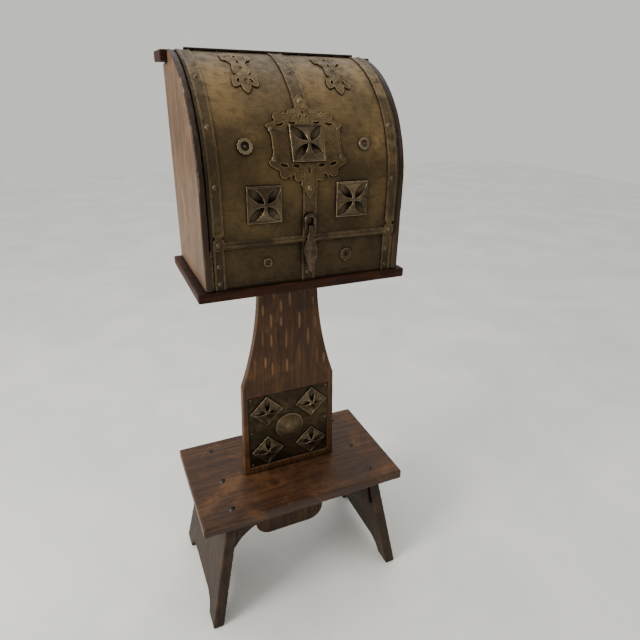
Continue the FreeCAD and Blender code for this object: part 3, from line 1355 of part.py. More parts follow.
doc.recompute()
for thing in doc.Objects:
    if "Invalid" in thing.State or "Error" in thing.State:
        raise RuntimeError(f"{thing.Name} ({thing.Label}) did not compute: {thing.State}")
for name, thing in PIECES.items():
    if thing.Shape.isNull() or not thing.Shape.isValid() or not thing.Shape.Solids:
        raise RuntimeError(f"{name} has no valid solid")
os.makedirs("parts", exist_ok=True)
for name, thing in PIECES.items():
    thing.Shape.exportStep(f"parts/{name}.step")
print(len(PIECES), "sub-parts")
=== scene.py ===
"""Looks for the donation box: aged brass over dark stained boards, on a pale floor, in soft light."""
import json
import math

import bmesh
import bpy
import numpy as np
from mathutils import Matrix, Vector, kdtree, noise

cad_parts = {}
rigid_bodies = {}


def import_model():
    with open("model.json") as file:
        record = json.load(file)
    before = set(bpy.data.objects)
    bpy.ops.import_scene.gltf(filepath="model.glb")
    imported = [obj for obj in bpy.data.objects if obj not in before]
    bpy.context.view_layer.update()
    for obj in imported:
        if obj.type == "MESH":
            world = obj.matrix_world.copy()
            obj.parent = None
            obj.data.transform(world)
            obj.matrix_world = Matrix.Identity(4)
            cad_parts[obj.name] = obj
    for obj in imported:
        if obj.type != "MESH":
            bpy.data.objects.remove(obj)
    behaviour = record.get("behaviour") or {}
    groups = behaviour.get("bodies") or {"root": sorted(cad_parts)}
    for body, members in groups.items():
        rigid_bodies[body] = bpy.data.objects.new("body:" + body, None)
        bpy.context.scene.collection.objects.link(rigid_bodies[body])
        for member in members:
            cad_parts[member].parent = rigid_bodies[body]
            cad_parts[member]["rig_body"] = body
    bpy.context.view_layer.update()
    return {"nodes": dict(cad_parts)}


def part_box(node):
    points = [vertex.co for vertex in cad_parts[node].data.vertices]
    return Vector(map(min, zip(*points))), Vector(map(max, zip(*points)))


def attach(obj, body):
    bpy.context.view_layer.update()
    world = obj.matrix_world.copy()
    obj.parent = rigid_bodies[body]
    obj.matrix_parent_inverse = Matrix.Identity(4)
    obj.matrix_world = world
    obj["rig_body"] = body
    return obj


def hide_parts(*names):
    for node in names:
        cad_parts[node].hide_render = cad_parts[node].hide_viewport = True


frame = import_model()
MM = 0.001


# ---- shader graphs ----

class Graph:
    """A node tree under construction. Every call adds a node and gives the socket it feeds on."""

    def __init__(self, owner):
        self.owner = owner
        owner.use_nodes = True
        self.tree = owner.node_tree
        self.tree.nodes.clear()

    def node(self, kind, values=None, **settings):
        made = self.tree.nodes.new("ShaderNode" + kind)
        for name, value in settings.items():
            setattr(made, name, value)
        for name, value in (values or {}).items():
            self.feed(made.inputs[name], value)
        return made

    def feed(self, socket, value):
        if isinstance(value, bpy.types.NodeSocket):
            self.tree.links.new(value, socket)
        elif isinstance(value, tuple) and len(value) == 3 and socket.type == "RGBA":
            socket.default_value = (*value, 1.0)
        else:
            socket.default_value = value

    def maths(self, operation, a, b=0.0, clamp=False):
        made = self.node("Math", operation=operation, use_clamp=clamp)
        self.feed(made.inputs[0], a)
        self.feed(made.inputs[1], b)
        return made.outputs[0]

    def place(self, stretch=(1, 1, 1), offset=0.0):
        """Position on the object in metres, stretched along each axis."""
        coordinates = self.node("TexCoord").outputs["Object"]
        mapping = self.node("Mapping", {"Vector": coordinates, "Scale": stretch, "Location": (offset,) * 3})
        return mapping.outputs[0]

    def noise(self, where, scale, detail=4.0, roughness=0.55, distortion=0.0):
        made = self.node("TexNoise", {
            "Vector": where, "Scale": scale, "Detail": detail, "Roughness": roughness,
            "Distortion": distortion,
        })
        return made.outputs["Fac"]

    def cells(self, where, scale):
        values = {"Vector": where, "Scale": scale, "Smoothness": 0.6}
        return self.node("TexVoronoi", values, feature="SMOOTH_F1").outputs["Distance"]

    def span(self, value, low, high, to_low=0.0, to_high=1.0):
        """Map low..high smoothly to to_low..to_high, and hold beyond."""
        made = self.node("MapRange", {
            "Value": value, "From Min": low, "From Max": high, "To Min": to_low, "To Max": to_high,
        }, interpolation_type="SMOOTHSTEP")
        return made.outputs[0]

    def mix(self, factor, a, b, blend="MIX"):
        made = self.node("Mix", data_type="RGBA", blend_type=blend)
        self.feed(made.inputs["Factor"], factor)
        self.feed(made.inputs[6], a)
        self.feed(made.inputs[7], b)
        return made.outputs[2]

    def edges(self, radius, low, high):
        """1 along sharp outer edges, 0 on flats."""
        rounded = self.node("Bevel", {"Radius": radius}, samples=4).outputs[0]
        flat = self.node("NewGeometry").outputs["Normal"]
        same = self.node("VectorMath", operation="DOT_PRODUCT")
        self.feed(same.inputs[0], rounded)
        self.feed(same.inputs[1], flat)
        bend = self.maths("SUBTRACT", 1.0, same.outputs["Value"])
        return self.span(bend, low, high)

    def hollows(self, distance, low, high):
        """1 in corners and beside raised pieces, 0 in the open: the mask for painted shade, and for patina
        on metal.
        """
        open_sky = self.node("AmbientOcclusion", {"Distance": distance}, samples=6).outputs["AO"]
        return self.span(open_sky, high, low)

    def bump(self, height, distance, strength, normal=None):
        values = {"Height": height, "Distance": distance, "Strength": strength}
        if normal is not None:
            values["Normal"] = normal
        return self.node("Bump", values).outputs[0]

    def painted(self, name):
        """A number stored on the points of a worn piece; 0 on any other."""
        return self.node("Attribute", attribute_name=name).outputs["Fac"]

    def finish(self, shader, output, values):
        made = self.node(shader, values)
        self.tree.links.new(made.outputs[0], self.node(output).inputs["Surface"])
        return self.owner


GROWTH_RINGS = 44.0


def scaled(colour, share):
    return tuple(min(1.0, share * part) for part in colour)


def wood(name, grain, dark, mid, light, bare, wear_and_highlight=0.7, shine=0.42, face=None, cut_front=None, gloss=0.25,
         figure=1.0):
    """Stained, varnished board.

    grain: axis the fibres run along. figure: how strongly they show. bare and wear: colour and strength
    of the rubbed edges, which on the side boards' front arris also stand for a painted highlight. face:
    where it names an axis, only the faces across it are light, and the others are painted darker as
    painted shade. cut_front: the y of a front with gouges."""
    graph = Graph(bpy.data.materials.new(name))
    along = {"x": (0.05, 1, 1), "z": (1, 1, 0.05)}[grain]
    where = graph.place(along)
    plain = graph.place()
    growth = graph.noise(where, 16, 2.0, 0.5, 0.35)
    rings = graph.span(graph.maths("SINE", graph.maths("MULTIPLY", growth, GROWTH_RINGS)), -1.0, 1.0)
    fibre = graph.noise(where, 420, 5.0, 0.7)
    streak = graph.noise(where, 80, 4.0, 0.6)
    fine = graph.noise(where, 210, 3.0, 0.65, 0.2)
    stain = graph.noise(plain, 10, 6.0, 0.68, 0.6)
    pores = graph.span(graph.noise(where, 900, 2.0, 0.6), 0.58, 0.70)
    colour = graph.mix(graph.span(rings, 0.1, 0.9, 0.35, 0.85), dark, mid)
    colour = graph.mix(graph.span(streak, 0.44, 0.62, 0.0, 0.85 * figure), colour, dark)
    colour = graph.mix(graph.span(stain, 0.46, 0.70, 0.0, 0.75), colour, light)
    colour = graph.mix(graph.span(stain, 0.47, 0.32, 0.0, 0.65), colour, dark)
    colour = graph.mix(graph.span(fine, 0.50, 0.64, 0.0, 0.75 * figure), colour, scaled(dark, 0.6))
    colour = graph.mix(graph.span(fine, 0.44, 0.32, 0.0, 0.55 * figure), colour, light)
    colour = graph.mix(graph.span(fibre, 0.35, 0.7, 0.0, 0.3), colour, mid)
    colour = graph.mix(graph.maths("MULTIPLY", pores, 0.6), colour, scaled(dark, 0.35))
    if face is not None:
        # Painted shade: faces not across this axis, turned away from the window, are painted darker than the
        # faces across it.
        normal = graph.node("SeparateXYZ", {"Vector": graph.node("NewGeometry").outputs["True Normal"]})
        flat = graph.span(graph.maths("ABSOLUTE", normal.outputs[face]), 0.88, 0.99)
        shaded_side_colour = graph.mix(graph.span(streak, 0.35, 0.65), scaled(dark, 0.3), scaled(mid, 0.26))
        colour = graph.mix(flat, shaded_side_colour, colour)
    if cut_front is not None:
        depth = graph.node("SeparateXYZ", {"Vector": graph.place()}).outputs["Y"]
        cut = graph.span(depth, cut_front + 0.2 * MM, cut_front + 1.0 * MM)
        front = graph.node("SeparateXYZ", {"Vector": graph.node("NewGeometry").outputs["True Normal"]})
        cut = graph.maths("MULTIPLY", cut, graph.span(front.outputs["Y"], -0.55, -0.75))
        cut = graph.maths("MULTIPLY", cut, graph.span(streak, 0.35, 0.6, 0.25, 0.9))
        colour = graph.mix(cut, colour, scaled(bare, 0.72))
    # Rubbed edges in the bare colour: real rubbing, and on the side boards' front arris also a painted
    # highlight.
    rubbed = graph.maths("MAXIMUM", graph.painted("wear_and_highlight"), graph.edges(2.5 * MM, 0.03, 0.3))
    patchy = graph.span(graph.noise(plain, 75, 5.0, 0.7), 0.40, 0.60)
    rubbed = graph.maths("MULTIPLY", graph.maths("MULTIPLY", rubbed, patchy), wear_and_highlight)
    colour = graph.mix(rubbed, colour, bare)
    # Painted shade: darker in corners, recesses and beside raised parts, from ambient occlusion, with some
    # dirt.
    shade_and_grime = graph.hollows(26 * MM, 0.25, 0.85)
    colour = graph.mix(graph.maths("MULTIPLY", shade_and_grime, 0.8), colour, scaled(dark, 0.2))
    rough = graph.span(stain, 0.35, 0.75, shine, shine + 0.2)
    rough = graph.maths("ADD", rough, graph.maths("MULTIPLY", pores, 0.2))
    rough = graph.maths("ADD", rough, graph.maths("MULTIPLY", rubbed, 0.2), clamp=True)
    relief = graph.maths("MULTIPLY", fibre, 0.5)
    relief = graph.maths("SUBTRACT", relief, graph.maths("MULTIPLY", pores, 0.8))
    relief = graph.maths("SUBTRACT", relief, graph.span(fine, 0.50, 0.66))
    normal = graph.bump(relief, 0.35 * MM, 0.8)
    normal = graph.bump(graph.noise(plain, 38, 3.0), 1.0 * MM, 0.4, normal)
    return graph.finish("BsdfPrincipled", "OutputMaterial", {
        "Base Color": colour, "Roughness": rough, "Normal": normal, "Specular IOR Level": gloss,
        "Coat Weight": 0.3 * gloss, "Coat Roughness": 0.25,
    })


def patina(name, bright, brown, dark, shine=(0.36, 0.62), gold=0.5, hammer=0.5, rub=0.7, offset=0.0,
           halo=12.0, pits=0.5, fades=None, hollow=(0.35, 0.95), edge=0.9, lit=1.9, mottled=1.0):
    """Old sheet or cast metal: rubbed bright in patches, brown between, black in the hollows.

    shine: roughness where unmarked and where stained. gold: share of the bright colour. hammer, pits,
    mottled and rub: how strong the dents, the dark specks, the mottling and the rubbed edges are.
    halo and edge: reach in millimetres of the patina and painted shade beside raised pieces and of the
    rubbed edges. hollow: openness at which that patina and painted shade are full and at which they are
    gone. lit: brightness of the rubbed edges, lifted above the bright colour as a painted highlight.
    fades: the heights between which the metal goes from dull, below, to its full colour."""
    graph = Graph(bpy.data.materials.new(name))
    plain = graph.place((1, 1, 1), offset)
    brushed = graph.place((0.05, 1, 1), offset)
    zones = graph.noise(plain, 10, 5.0, 0.62, 0.4)
    mottle = graph.noise(plain, 70, 6.0, 0.70, 0.3)
    specks = graph.span(graph.noise(plain, 380, 3.0, 0.6), 0.58, 0.68)
    streak = graph.noise(brushed, 240, 4.0, 0.65)
    colour = graph.mix(graph.span(zones, 0.58 - 0.3 * gold, 0.84 - 0.3 * gold), brown, bright)
    colour = graph.mix(graph.span(mottle, 0.48, 0.70, 0.0, 0.6 * mottled), colour, dark)
    colour = graph.mix(graph.span(mottle, 0.44, 0.30, 0.0, 0.45), colour, bright)
    colour = graph.mix(graph.span(streak, 0.45, 0.68, 0.0, 0.45 * mottled), colour, brown)
    colour = graph.mix(graph.span(streak, 0.42, 0.28, 0.0, 0.35 * mottled), colour, bright)
    if fades is not None:
        height = graph.node("SeparateXYZ", {"Vector": graph.place()}).outputs["Z"]
        dull = graph.span(graph.maths("ADD", height, graph.maths("MULTIPLY", zones, 0.12)), fades[1] + 0.06,
                          fades[0] + 0.06, 0.0, 0.68)
        colour = graph.mix(dull, colour, scaled(dark, 1.2))
        specks = graph.maths("MULTIPLY", specks, graph.span(height, fades[1], fades[0], 0.35, 1.0))
    colour = graph.mix(graph.maths("MULTIPLY", specks, pits), colour, scaled(dark, 0.3))
    # Patina in the hollows and painted shade beside raised pieces, both darkened from ambient occlusion.
    shade_and_grime = graph.hollows(halo * MM, *hollow)
    colour = graph.mix(graph.maths("MULTIPLY", shade_and_grime, 0.9), colour, scaled(dark, 0.3))
    # Rubbed edges, lifted above the bright colour: partly real rubbing, partly a painted highlight, kept out
    # of the painted shade.
    worn = graph.maths("MAXIMUM", graph.painted("wear_and_highlight"), graph.edges(edge * MM, 0.03, 0.25))
    worn = graph.maths("MULTIPLY", worn, rub)
    worn = graph.maths("MULTIPLY", worn, graph.span(mottle, 0.7, 0.35, 0.35, 1.0))
    outside_shade_and_grime = graph.maths("SUBTRACT", 1.0, graph.maths("MULTIPLY", shade_and_grime, 0.6))
    worn = graph.maths("MULTIPLY", worn, outside_shade_and_grime)
    colour = graph.mix(worn, colour, scaled(bright, lit))
    rough = graph.span(mottle, 0.3, 0.75, shine[0], shine[1])
    rough = graph.maths("ADD", rough, graph.maths("MULTIPLY", shade_and_grime, 0.2))
    rough = graph.maths("SUBTRACT", rough, graph.maths("MULTIPLY", worn, 0.12), clamp=True)
    dents = graph.maths("MULTIPLY", graph.cells(plain, 60), hammer)
    relief = graph.maths("ADD", dents, graph.maths("MULTIPLY", mottle, 0.35))
    relief = graph.maths("SUBTRACT", relief, graph.maths("MULTIPLY", specks, 0.4))
    normal = graph.bump(relief, 0.8 * MM, 0.5)
    normal = graph.bump(graph.noise(plain, 650, 3.0), 0.12 * MM, 0.5, normal)
    normal = graph.bump(streak, 0.10 * MM, 0.6, normal)
    return graph.finish("BsdfPrincipled", "OutputMaterial", {
        "Base Color": colour, "Roughness": rough, "Normal": normal, "Metallic": 0.85,
    })


BARE_WOOD = (0.30, 0.155, 0.07)
POST_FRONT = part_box("post")[0].y
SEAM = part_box("lid_sheet")[0].z
looks = {
    "box": wood("wood_box", "z", (0.058, 0.028, 0.013), (0.160, 0.088, 0.044), (0.22, 0.135, 0.073),
                (0.42, 0.28, 0.17), 0.9, face="X", figure=0.55),
    "board": wood("wood_board", "x", (0.010, 0.0035, 0.0018), (0.036, 0.0115, 0.0045), (0.068, 0.022, 0.008),
                  (0.12, 0.05, 0.022), 0.5, gloss=0.1),
    "post": wood("wood_post", "z", (0.030, 0.0125, 0.0045), (0.086, 0.037, 0.013), (0.140, 0.066, 0.025),
                 BARE_WOOD, 0.25, cut_front=POST_FRONT, gloss=0.2, figure=0.8),
    "seat": wood("wood_seat", "x", (0.018, 0.0075, 0.0035), (0.068, 0.028, 0.0105), (0.155, 0.070, 0.026),
                 (0.20, 0.105, 0.05), 0.4, figure=0.5),
    "leg": wood("wood_leg", "z", (0.014, 0.0080, 0.0045), (0.042, 0.0235, 0.0125), (0.074, 0.044, 0.025),
                (0.15, 0.095, 0.055), 0.5, 0.5, gloss=0.15, figure=0.8),
    "inner": wood("wood_inner", "x", (0.12, 0.07, 0.04), (0.30, 0.19, 0.10), (0.38, 0.25, 0.14),
                  (0.42, 0.27, 0.15), 0.2, 0.6),
    "sheet": patina("brass_sheet", (0.185, 0.122, 0.052), (0.092, 0.062, 0.030), (0.028, 0.020, 0.012),
                    fades=(SEAM - 0.02, SEAM + 0.16), halo=18, gold=0.62, hollow=(0.60, 0.96),
                    mottled=0.6, hammer=0.8, pits=0.7),
    "strap": patina("brass_strap", (0.198, 0.134, 0.066), (0.076, 0.053, 0.029), (0.022, 0.017, 0.012),
                    offset=3.0, fades=(SEAM - 0.05, SEAM + 0.12), rub=1.0, edge=1.6, halo=6, lit=2.8),
    "rim": patina("dark_rim", (0.090, 0.066, 0.036), (0.034, 0.025, 0.015), (0.012, 0.010, 0.007),
                  offset=4.0, halo=6),
    "plate": patina("brass_plate", (0.200, 0.135, 0.062), (0.095, 0.064, 0.030), (0.022, 0.016, 0.010),
                    offset=5.0, halo=4, rub=0.8),
    "plaque": patina("plaque_sheet", (0.090, 0.061, 0.031), (0.036, 0.025, 0.013), (0.010, 0.008, 0.006),
                     offset=6.0, halo=10, hollow=(0.62, 0.97)),
    "boss": patina("brass_boss", (0.340, 0.260, 0.160), (0.130, 0.094, 0.054), (0.012, 0.009, 0.007),
                   offset=7.0, halo=14, rub=1.0, hollow=(0.74, 0.97), mottled=0.6),
    "dome": patina("bronze_dome", (0.190, 0.132, 0.074), (0.085, 0.058, 0.032), (0.018, 0.013, 0.008),
                   offset=8.0, halo=8, rub=0.9, hollow=(0.5, 0.9), mottled=0.6),
    "stud": patina("iron_stud", (0.205, 0.150, 0.086), (0.080, 0.056, 0.033), (0.007, 0.006, 0.005),
                   (0.3, 0.5), offset=9.0, rub=1.0, halo=14, hollow=(0.66, 0.93), lit=2.4),
    "hasp": patina("iron_hasp", (0.130, 0.088, 0.056), (0.048, 0.033, 0.022), (0.012, 0.009, 0.007),
                   (0.3, 0.5), offset=11.0, rub=0.9, halo=6),
    "rivet": patina("rivet_metal", (0.260, 0.205, 0.125), (0.090, 0.067, 0.040), (0.020, 0.016, 0.011),
                    offset=13.0, halo=4),
    "nail": patina("nail_iron", (0.09, 0.08, 0.07), (0.035, 0.030, 0.026), (0.010, 0.009, 0.008),
                   offset=15.0, halo=4),
    "hinge": patina("hinge_brass", (0.075, 0.055, 0.030), (0.028, 0.021, 0.012), (0.010, 0.008, 0.006),
                    offset=17.0, halo=4),
    "steel": patina("lock_steel", (0.46, 0.45, 0.43), (0.30, 0.29, 0.28), (0.12, 0.11, 0.10),
                    (0.3, 0.45), offset=19.0),
    "plug": patina("lock_brass", (0.11, 0.08, 0.042), (0.045, 0.032, 0.018), (0.014, 0.010, 0.007),
                   (0.35, 0.55), offset=21.0, halo=4, hollow=(0.5, 0.93)),
}
LOOK_OF = {
    "box": ("side_left", "side_right", "back_board"),
    "board": ("shelf", "top_board"),
    "post": ("post", "tenon_cleats"),
    "seat": ("stool_top",),
    "leg": ("leg_left", "leg_right", "apron_front", "apron_rear"),
    "inner": ("lower_panel", "lid_ribs", "lid_top_rail", "lid_bottom_rail"),
    "sheet": ("lid_sheet", "lower_sheet"),
    "strap": ("strap_left", "strap_right", "strap_centre", "seam_moulding", "lower_side_straps",
              "lower_centre_strap"),
    "rim": ("lid_edges",),
    "plate": ("cartouche", "mount_left", "mount_right", "slot_plate"),
    "plaque": ("plaque_plate",),
    "boss": ("rosette_left", "rosette_right", "ring_boss"),
    "dome": ("plaque_boss",),
    "stud": ("stud_centre", "stud_left", "stud_right", "plaque_studs", "keyhole_escutcheon"),
    "hasp": ("hasp", "hasp_staple", "hasp_eye"),
    "rivet": ("lid_rivets", "lower_rivets", "plaque_nails", "slot_nails"),
    "nail": ("seat_nails", "shelf_screws", "top_nails", "lock_screws", "hinge_screws_fixed",
             "hinge_screws_lid"),
    "hinge": ("hinge_leaf_fixed", "hinge_leaf_lid", "hinge_pin"),
    "steel": ("lock_case", "lock_cover", "lock_bolt"),
    "plug": ("lock_plug",),
}
for look, names in LOOK_OF.items():
    for name in names:
        node = frame["nodes"][name]
        for number in range(len(node.material_slots)):
            node.material_slots[number].material = looks[look]


# ---- worn, cast and hammered shapes ----

def ramp(values, low, high):
    """0 below low, 1 above high, and smooth between."""
    share = np.clip((values - low) / (high - low), 0, 1)
    return share * share * (3 - 2 * share)


def roughness(points, size, octaves=3, seed=0.0):
    """Smooth noise of about -1..1 at each point, with features of the given size."""
    return np.array([noise.fractal(spot, 1.0, 2.0, octaves) for spot in (points / size + seed).tolist()])


def dimples(points, size):
    """0 in the middle of each hammer mark to about 1 where marks meet."""
    return np.array([noise.voronoi(spot)[0][0] for spot in (points / size).tolist()])


def read(collection, field, width=3):
    values = np.empty(len(collection) * width, np.float32 if width == 3 else np.int32)
    collection.foreach_get(field, values)
    return values.reshape(-1, width)


def show(node, mesh, points, wear_and_highlight=None):
    """Put a finished mesh in the place of its CAD node, on the same body and in the same finish."""
    mesh.vertices.foreach_set("co", points.astype(np.float32).ravel())
    # The stored edge marks are rubbing, and the finishes also turn them into a painted highlight.
    if wear_and_highlight is not None:
        mesh.attributes.new("wear_and_highlight", "FLOAT", "POINT").data.foreach_set("value", wear_and_highlight.astype(np.float32))
    mesh.materials.clear()
    mesh.materials.append(frame["nodes"][node].material_slots[0].material)
    mesh.shade_smooth()
    mesh.update()
    piece = bpy.data.objects.new(node + "_shape", mesh)
    bpy.context.scene.collection.objects.link(piece)
    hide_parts(node)
    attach(piece, frame["nodes"][node]["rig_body"])
    return piece


class Skin:
    """A copy of a CAD node as one fine, even mesh whose points can be moved."""

    def __init__(self, node, voxel):
        self.node = node
        self.voxel = voxel
        source = frame["nodes"][node]
        even = source.modifiers.new("even", "REMESH")
        even.mode = "VOXEL"
        even.voxel_size = voxel
        remeshed = source.evaluated_get(bpy.context.evaluated_depsgraph_get())
        self.mesh = bpy.data.meshes.new_from_object(remeshed)
        source.modifiers.remove(even)
        self.points = read(self.mesh.vertices, "co").astype(float)
        self.normals = read(self.mesh.vertices, "normal").astype(float)
        ends = read(self.mesh.edges, "vertices", 2)
        self.heads = np.concatenate((ends[:, 0], ends[:, 1]))
        self.tails = np.concatenate((ends[:, 1], ends[:, 0]))
        self.degree = np.maximum(np.bincount(self.heads, minlength=len(self.points)), 1)

    def levelled(self, points, rounds):
        """Each point moved towards the middle of its neighbours, so many times over."""
        for _ in range(rounds):
            middle = np.stack([
                np.bincount(self.heads, points[self.tails, axis], len(points)) for axis in range(3)
            ], axis=1) / self.degree[:, None]
            points = 0.5 * (points + middle)
        return points

    def shift(self, amount):
        """Move every point along its own normal."""
        self.points += self.normals * amount[:, None]

    def show(self, wear_and_highlight):
        show(self.node, self.mesh, self.points, wear_and_highlight)


EDGE_ROUNDS = 6


def worn_board(node, voxel, wave=0.35 * MM, chips=1.0, worn_above=None, deeper=0):
    """A board with uneven, rubbed edges, chips out of them, and the low waves of hand planing.

    wave: depth of the waves. chips: how much of the edge is chipped. worn_above: a pair of heights
    between which the rubbed edge marks grow, slight below; on the side boards' front arris they are also
    a painted highlight. deeper: more rounds of levelling, for chips that reach further in."""
    skin = Skin(node, voxel)
    skin.points = skin.levelled(skin.points, 1)
    soft = skin.levelled(skin.points, EDGE_ROUNDS)
    proud = np.einsum("ij,ij->i", skin.points - soft, skin.normals) / voxel
    edge = ramp(proud, 0.12, 0.5)
    soft = skin.levelled(soft, deeper)
    patches = ramp(roughness(skin.points, 30 * MM, 4), 0.15, 0.65)
    shown = 1.0 if worn_above is None else 0.15 + 0.85 * ramp(skin.points[:, 2], *worn_above)
    share = np.clip(edge * (0.1 + chips * patches), 0, 1)
    # Pale edge marks: real rubbing and chips, and on the side boards' front arris also a painted highlight.
    wear_and_highlight = edge * (0.1 + 0.9 * patches) * shown
    skin.points += (soft - skin.points) * share[:, None]
    skin.shift(-wave * np.abs(roughness(skin.points, 70 * MM, 2, 5.0)))
    skin.show(wear_and_highlight)


def cast_piece(node, voxel, lumps=0.12 * MM, size=7 * MM):
    """A cast or forged piece: softened corners and a slightly lumpy skin, its outer edges rubbed and given a
    painted highlight.
    """
    skin = Skin(node, voxel)
    skin.points = skin.levelled(skin.points, 1)
    soft = skin.levelled(skin.points, 4)
    proud = np.einsum("ij,ij->i", skin.points - soft, skin.normals) / voxel
    skin.shift(lumps * roughness(skin.points, size, 2))
    skin.show(ramp(proud, 0.06, 0.4))


def outward_of(points):
    """The lid's own outward direction at each point: straight forward below, round its curve above."""
    away = points - np.array((0, LID_CENTRE_Y, LID_CENTRE_Z))
    away[:, 0] = 0
    away[away[:, 2] < 0] = (0, -1, 0)
    return away / np.linalg.norm(away, axis=1)[:, None]


def outline_tree(node, step=0.4 * MM, sharp=math.radians(50)):
    """Points along every sharp edge of a lid ornament's outer face, ready to be searched."""
    shape = bmesh.new()
    shape.from_mesh(frame["nodes"][node].data)
    bmesh.ops.remove_doubles(shape, verts=shape.verts, dist=0.01 * MM)
    spots = []
    for edge in shape.edges:
        start, end = edge.verts[0].co, edge.verts[1].co
        outward = Vector(outward_of(np.array([start]))[0])
        front = max((face.normal.dot(outward) for face in edge.link_faces), default=0)
        if len(edge.link_faces) == 2 and front > 0.9 and edge.calc_face_angle() > sharp:
            count = max(1, round(edge.calc_length() / step))
            spots += [start.lerp(end, number / count) for number in range(count + 1)]
    shape.free()
    tree = kdtree.KDTree(len(spots))
    for number, spot in enumerate(spots):
        tree.insert(spot, number)
    tree.balance()
    return tree


def embossed(node, voxel, beads):
    """Raise beads beside a sheet ornament's outline and holes. Each bead: distance in, half width, rise."""
    skin = Skin(node, voxel)
    skin.points = skin.levelled(skin.points, 1)
    tree = outline_tree(node)
    inwards = np.array([tree.find(point)[2] for point in skin.points.tolist()])
    facing = ramp(np.einsum("ij,ij->i", skin.normals, outward_of(skin.points)), 0.3, 0.7)
    rise = np.zeros(len(inwards))
    crest = np.zeros(len(inwards))
    for middle, half, height in beads:
        bead = np.exp(-((inwards - middle) / half) ** 2)
        rise += height * bead
        crest = np.maximum(crest, (height / (0.6 * MM)) ** 2 * ramp(bead, 0.4, 1.0))
    rise += 0.15 * MM * roughness(skin.points, 9 * MM, 2)
    skin.shift(rise * facing)
    skin.show(crest * facing)


LID_RADIUS = 0.230
LID_CENTRE_Y = 0.105
LID_CENTRE_Z = 1.017
SHEET_THICK = 0.8 * MM


def hammered_lid_sheet(step=2.2 * MM):
    """The lid's brass skin: flat at the foot, then round the curve, beaten slightly uneven."""
    low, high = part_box("lid_sheet")
    turn = math.asin((high.z - LID_CENTRE_Z) / LID_RADIUS)
    straight = LID_CENTRE_Z - low.z
    columns = round((high.x - low.x) / step)
    rows = round((straight + LID_RADIUS * turn) / step)
    x, up = np.meshgrid(np.linspace(low.x, high.x, columns + 1), np.linspace(0, 1, rows + 1))
    up = up * (straight + LID_RADIUS * turn)
    angle = np.maximum(up - straight, 0) / LID_RADIUS
    flat = np.stack((x, up, 0 * x), axis=-1).reshape(-1, 3)
    sunk = 0.5 * MM * np.abs(roughness(flat, 75 * MM, 2)) + 0.10 * MM * dimples(flat, 13 * MM)
    radius = LID_RADIUS - sunk.reshape(x.shape)
    height = LID_CENTRE_Z + np.minimum(up - straight, 0) + radius * np.sin(angle)
    points = np.stack((x, LID_CENTRE_Y - radius * np.cos(angle), height), axis=-1).reshape(-1, 3)
    faces = []
    for row in range(rows):
        first = row * (columns + 1)
        for corner in range(first, first + columns):
            faces.append((corner, corner + 1, corner + columns + 2, corner + columns + 1))
    mesh = bpy.data.meshes.new("hammered_sheet")
    mesh.from_pydata(points.tolist(), [], faces)
    sheet = show("lid_sheet", mesh, points)
    thickness = sheet.modifiers.new("thickness", "SOLIDIFY")
    thickness.thickness = SHEET_THICK
    thickness.offset = -1


def forged_hasp():
    """The hasp as a smith leaves it: ridged down the middle, thin at the edges, its foot rubbed bright."""
    skin = Skin("hasp", 0.7 * MM)
    skin.points = skin.levelled(skin.points, 2)
    low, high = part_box("hasp")
    drop = (high.z - skin.points[:, 2]) / (high.z - low.z)
    front = ramp(-skin.normals[:, 1], 0.2, 0.6)
    fall = np.minimum(0.42 * np.abs(skin.points[:, 0]), 2.2 * MM) * front * ramp(drop, 0.25, 0.4)
    skin.points[:, 1] += fall
    skin.shift(0.3 * MM * roughness(skin.points, 9 * MM, 2))
    skin.points = skin.levelled(skin.points, 1)
    soft = skin.levelled(skin.points, 4)
    proud = np.einsum("ij,ij->i", skin.points - soft, skin.normals) / skin.voxel
    foot = 0.55 * ramp(drop, 0.62, 0.7) * (1 - ramp(drop, 0.93, 1.0))
    skin.show(np.clip(ramp(proud, 0.05, 0.35) + foot, 0, 1))


def hammered_boss():
    """The plaque's round boss: a planished dome inside a rubbed rim."""
    skin = Skin("plaque_boss", 0.7 * MM)
    skin.points = skin.levelled(skin.points, 1)
    marks = dimples(skin.points, 8 * MM)
    low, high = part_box("plaque_boss")
    middle_z = (low.z + high.z) / 2
    out = np.hypot(skin.points[:, 0], skin.points[:, 2] - middle_z)
    inside = 1 - ramp(out, 27 * MM, 31 * MM)
    skin.shift(-0.7 * MM * (0.6 - marks) * inside)
    rim = ramp(out, 32 * MM, 34 * MM) * ramp(-skin.normals[:, 1], 0.5, 0.9)
    skin.show(np.maximum(0.25 * ramp(marks, 0.5, 0.9) * inside, 0.7 * rim))


for node, voxel in (
    ("shelf", 2.0), ("top_board", 2.0), ("stool_top", 2.1), ("leg_left", 2.6), ("leg_right", 2.6),
    ("apron_front", 2.6), ("apron_rear", 2.6),
):
    worn_board(node, voxel * MM)
for node in ("side_left", "side_right"):
    worn_board(node, 2.0 * MM, worn_above=(1.06, 1.20), deeper=16)
worn_board("post", 1.3 * MM, 0.1 * MM, 0.6)
hammered_lid_sheet()
OUTLINE_BEADS = ((1.1 * MM, 0.8 * MM, 0.5 * MM), (6.0 * MM, 2.4 * MM, 0.2 * MM))
embossed("cartouche", 0.65 * MM, OUTLINE_BEADS)
embossed("mount_left", 0.6 * MM, OUTLINE_BEADS)
embossed("mount_right", 0.6 * MM, OUTLINE_BEADS)
forged_hasp()
hammered_boss()
cast_piece("hasp_eye", 0.6 * MM, 0.3 * MM)
for node in ("stud_centre", "stud_left", "stud_right", "plaque_studs"):
    cast_piece(node, 0.75 * MM, 0.2 * MM, 9 * MM)
for node in ("rosette_left", "rosette_right", "ring_boss", "keyhole_escutcheon"):
    cast_piece(node, 0.45 * MM)


# ---- floor, light and camera ----

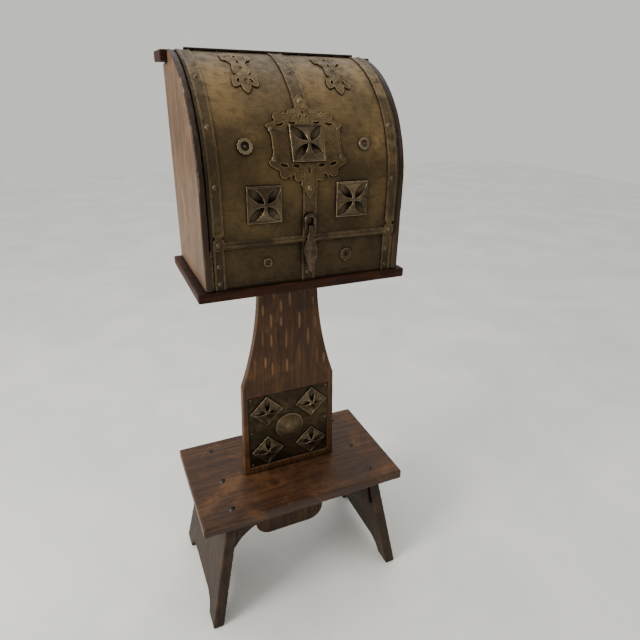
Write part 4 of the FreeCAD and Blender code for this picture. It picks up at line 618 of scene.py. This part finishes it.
def panel_light(name, place, target, size, power, colour):
    light = bpy.data.lights.new(name, "AREA")
    light.shape = "RECTANGLE"
    light.size, light.size_y = size
    light.energy = power
    light.color = colour
    lamp = bpy.data.objects.new(name, light)
    bpy.context.scene.collection.objects.link(lamp)
    lamp.location = place
    lamp.rotation_euler = (Vector(target) - Vector(place)).to_track_quat("-Z", "Y").to_euler()


def pale_floor():
    bpy.ops.mesh.primitive_plane_add(size=14)
    floor = bpy.context.object
    floor.name = "floor"
    graph = Graph(bpy.data.materials.new("pale_floor"))
    where = graph.place()
    cloudy = graph.noise(where, 2.4, 6.0, 0.6, 0.5)
    colour = graph.mix(graph.span(cloudy, 0.35, 0.7), (0.72, 0.73, 0.70), (0.82, 0.82, 0.78))
    normal = graph.bump(graph.noise(where, 60, 4.0), 0.5 * MM, 0.3)
    floor.data.materials.append(graph.finish("BsdfPrincipled", "OutputMaterial", {
        "Base Color": colour, "Roughness": 0.42, "Normal": normal,
    }))


def studio_world():
    """Bright from above and from the left, dim in front; the camera itself sees an even pale backdrop."""
    world = bpy.data.worlds.new("studio")
    bpy.context.scene.world = world
    graph = Graph(world)
    way = graph.node("SeparateXYZ", {"Vector": graph.node("TexCoord").outputs["Generated"]})
    height = graph.maths("ADD", way.outputs["Z"], graph.maths("MULTIPLY", way.outputs["Y"], 0.35))
    above = graph.span(height, 0.05, 1.15, 0.0, 1.25)
    left = graph.span(way.outputs["X"], -0.15, -0.95, 0.0, 0.75)
    light = graph.maths("ADD", graph.maths("ADD", above, left), 0.14)
    seen = graph.node("LightPath").outputs["Is Camera Ray"]
    strength = graph.maths("MAXIMUM", light, graph.maths("MULTIPLY", seen, 0.8))
    graph.finish("Background", "OutputWorld", {"Color": (0.95, 0.94, 0.91), "Strength": strength})


pale_floor()
studio_world()
BOX_MIDDLE = (0.0, 0.0, 0.9)
panel_light("window", (-2.6, -0.6, 1.9), BOX_MIDDLE, (1.1, 1.5), 85, (1.0, 0.96, 0.90))
panel_light("skylight", (0.3, 0.9, 3.2), BOX_MIDDLE, (2.4, 2.0), 9, (1.0, 0.98, 0.96))
panel_light("fill", (1.9, -1.9, 2.3), BOX_MIDDLE, (1.2, 1.2), 9, (1.0, 0.96, 0.90))

CAMERA_PLACE = Vector((-0.3647, -0.9816, 1.1838))
CAMERA_TURN = math.radians(24.515)
CAMERA_TILT = math.radians(-24.48)
CAMERA_ROLL = math.radians(1.17)
forward = Vector((
    math.sin(CAMERA_TURN) * math.cos(CAMERA_TILT), math.cos(CAMERA_TURN) * math.cos(CAMERA_TILT),
    math.sin(CAMERA_TILT),
))
level = Vector((math.cos(CAMERA_TURN), -math.sin(CAMERA_TURN), 0))
upright = level.cross(forward)
across = math.cos(CAMERA_ROLL) * level + math.sin(CAMERA_ROLL) * upright
upwards = math.cos(CAMERA_ROLL) * upright - math.sin(CAMERA_ROLL) * level
camera_data = bpy.data.cameras.new("camera")
camera_data.sensor_width = 36
camera_data.lens = 28.57
camera = bpy.data.objects.new("camera", camera_data)
bpy.context.scene.collection.objects.link(camera)
pose = Matrix((across, upwards, -forward)).transposed().to_4x4()
pose.translation = CAMERA_PLACE
camera.matrix_world = pose
bpy.context.scene.camera = camera
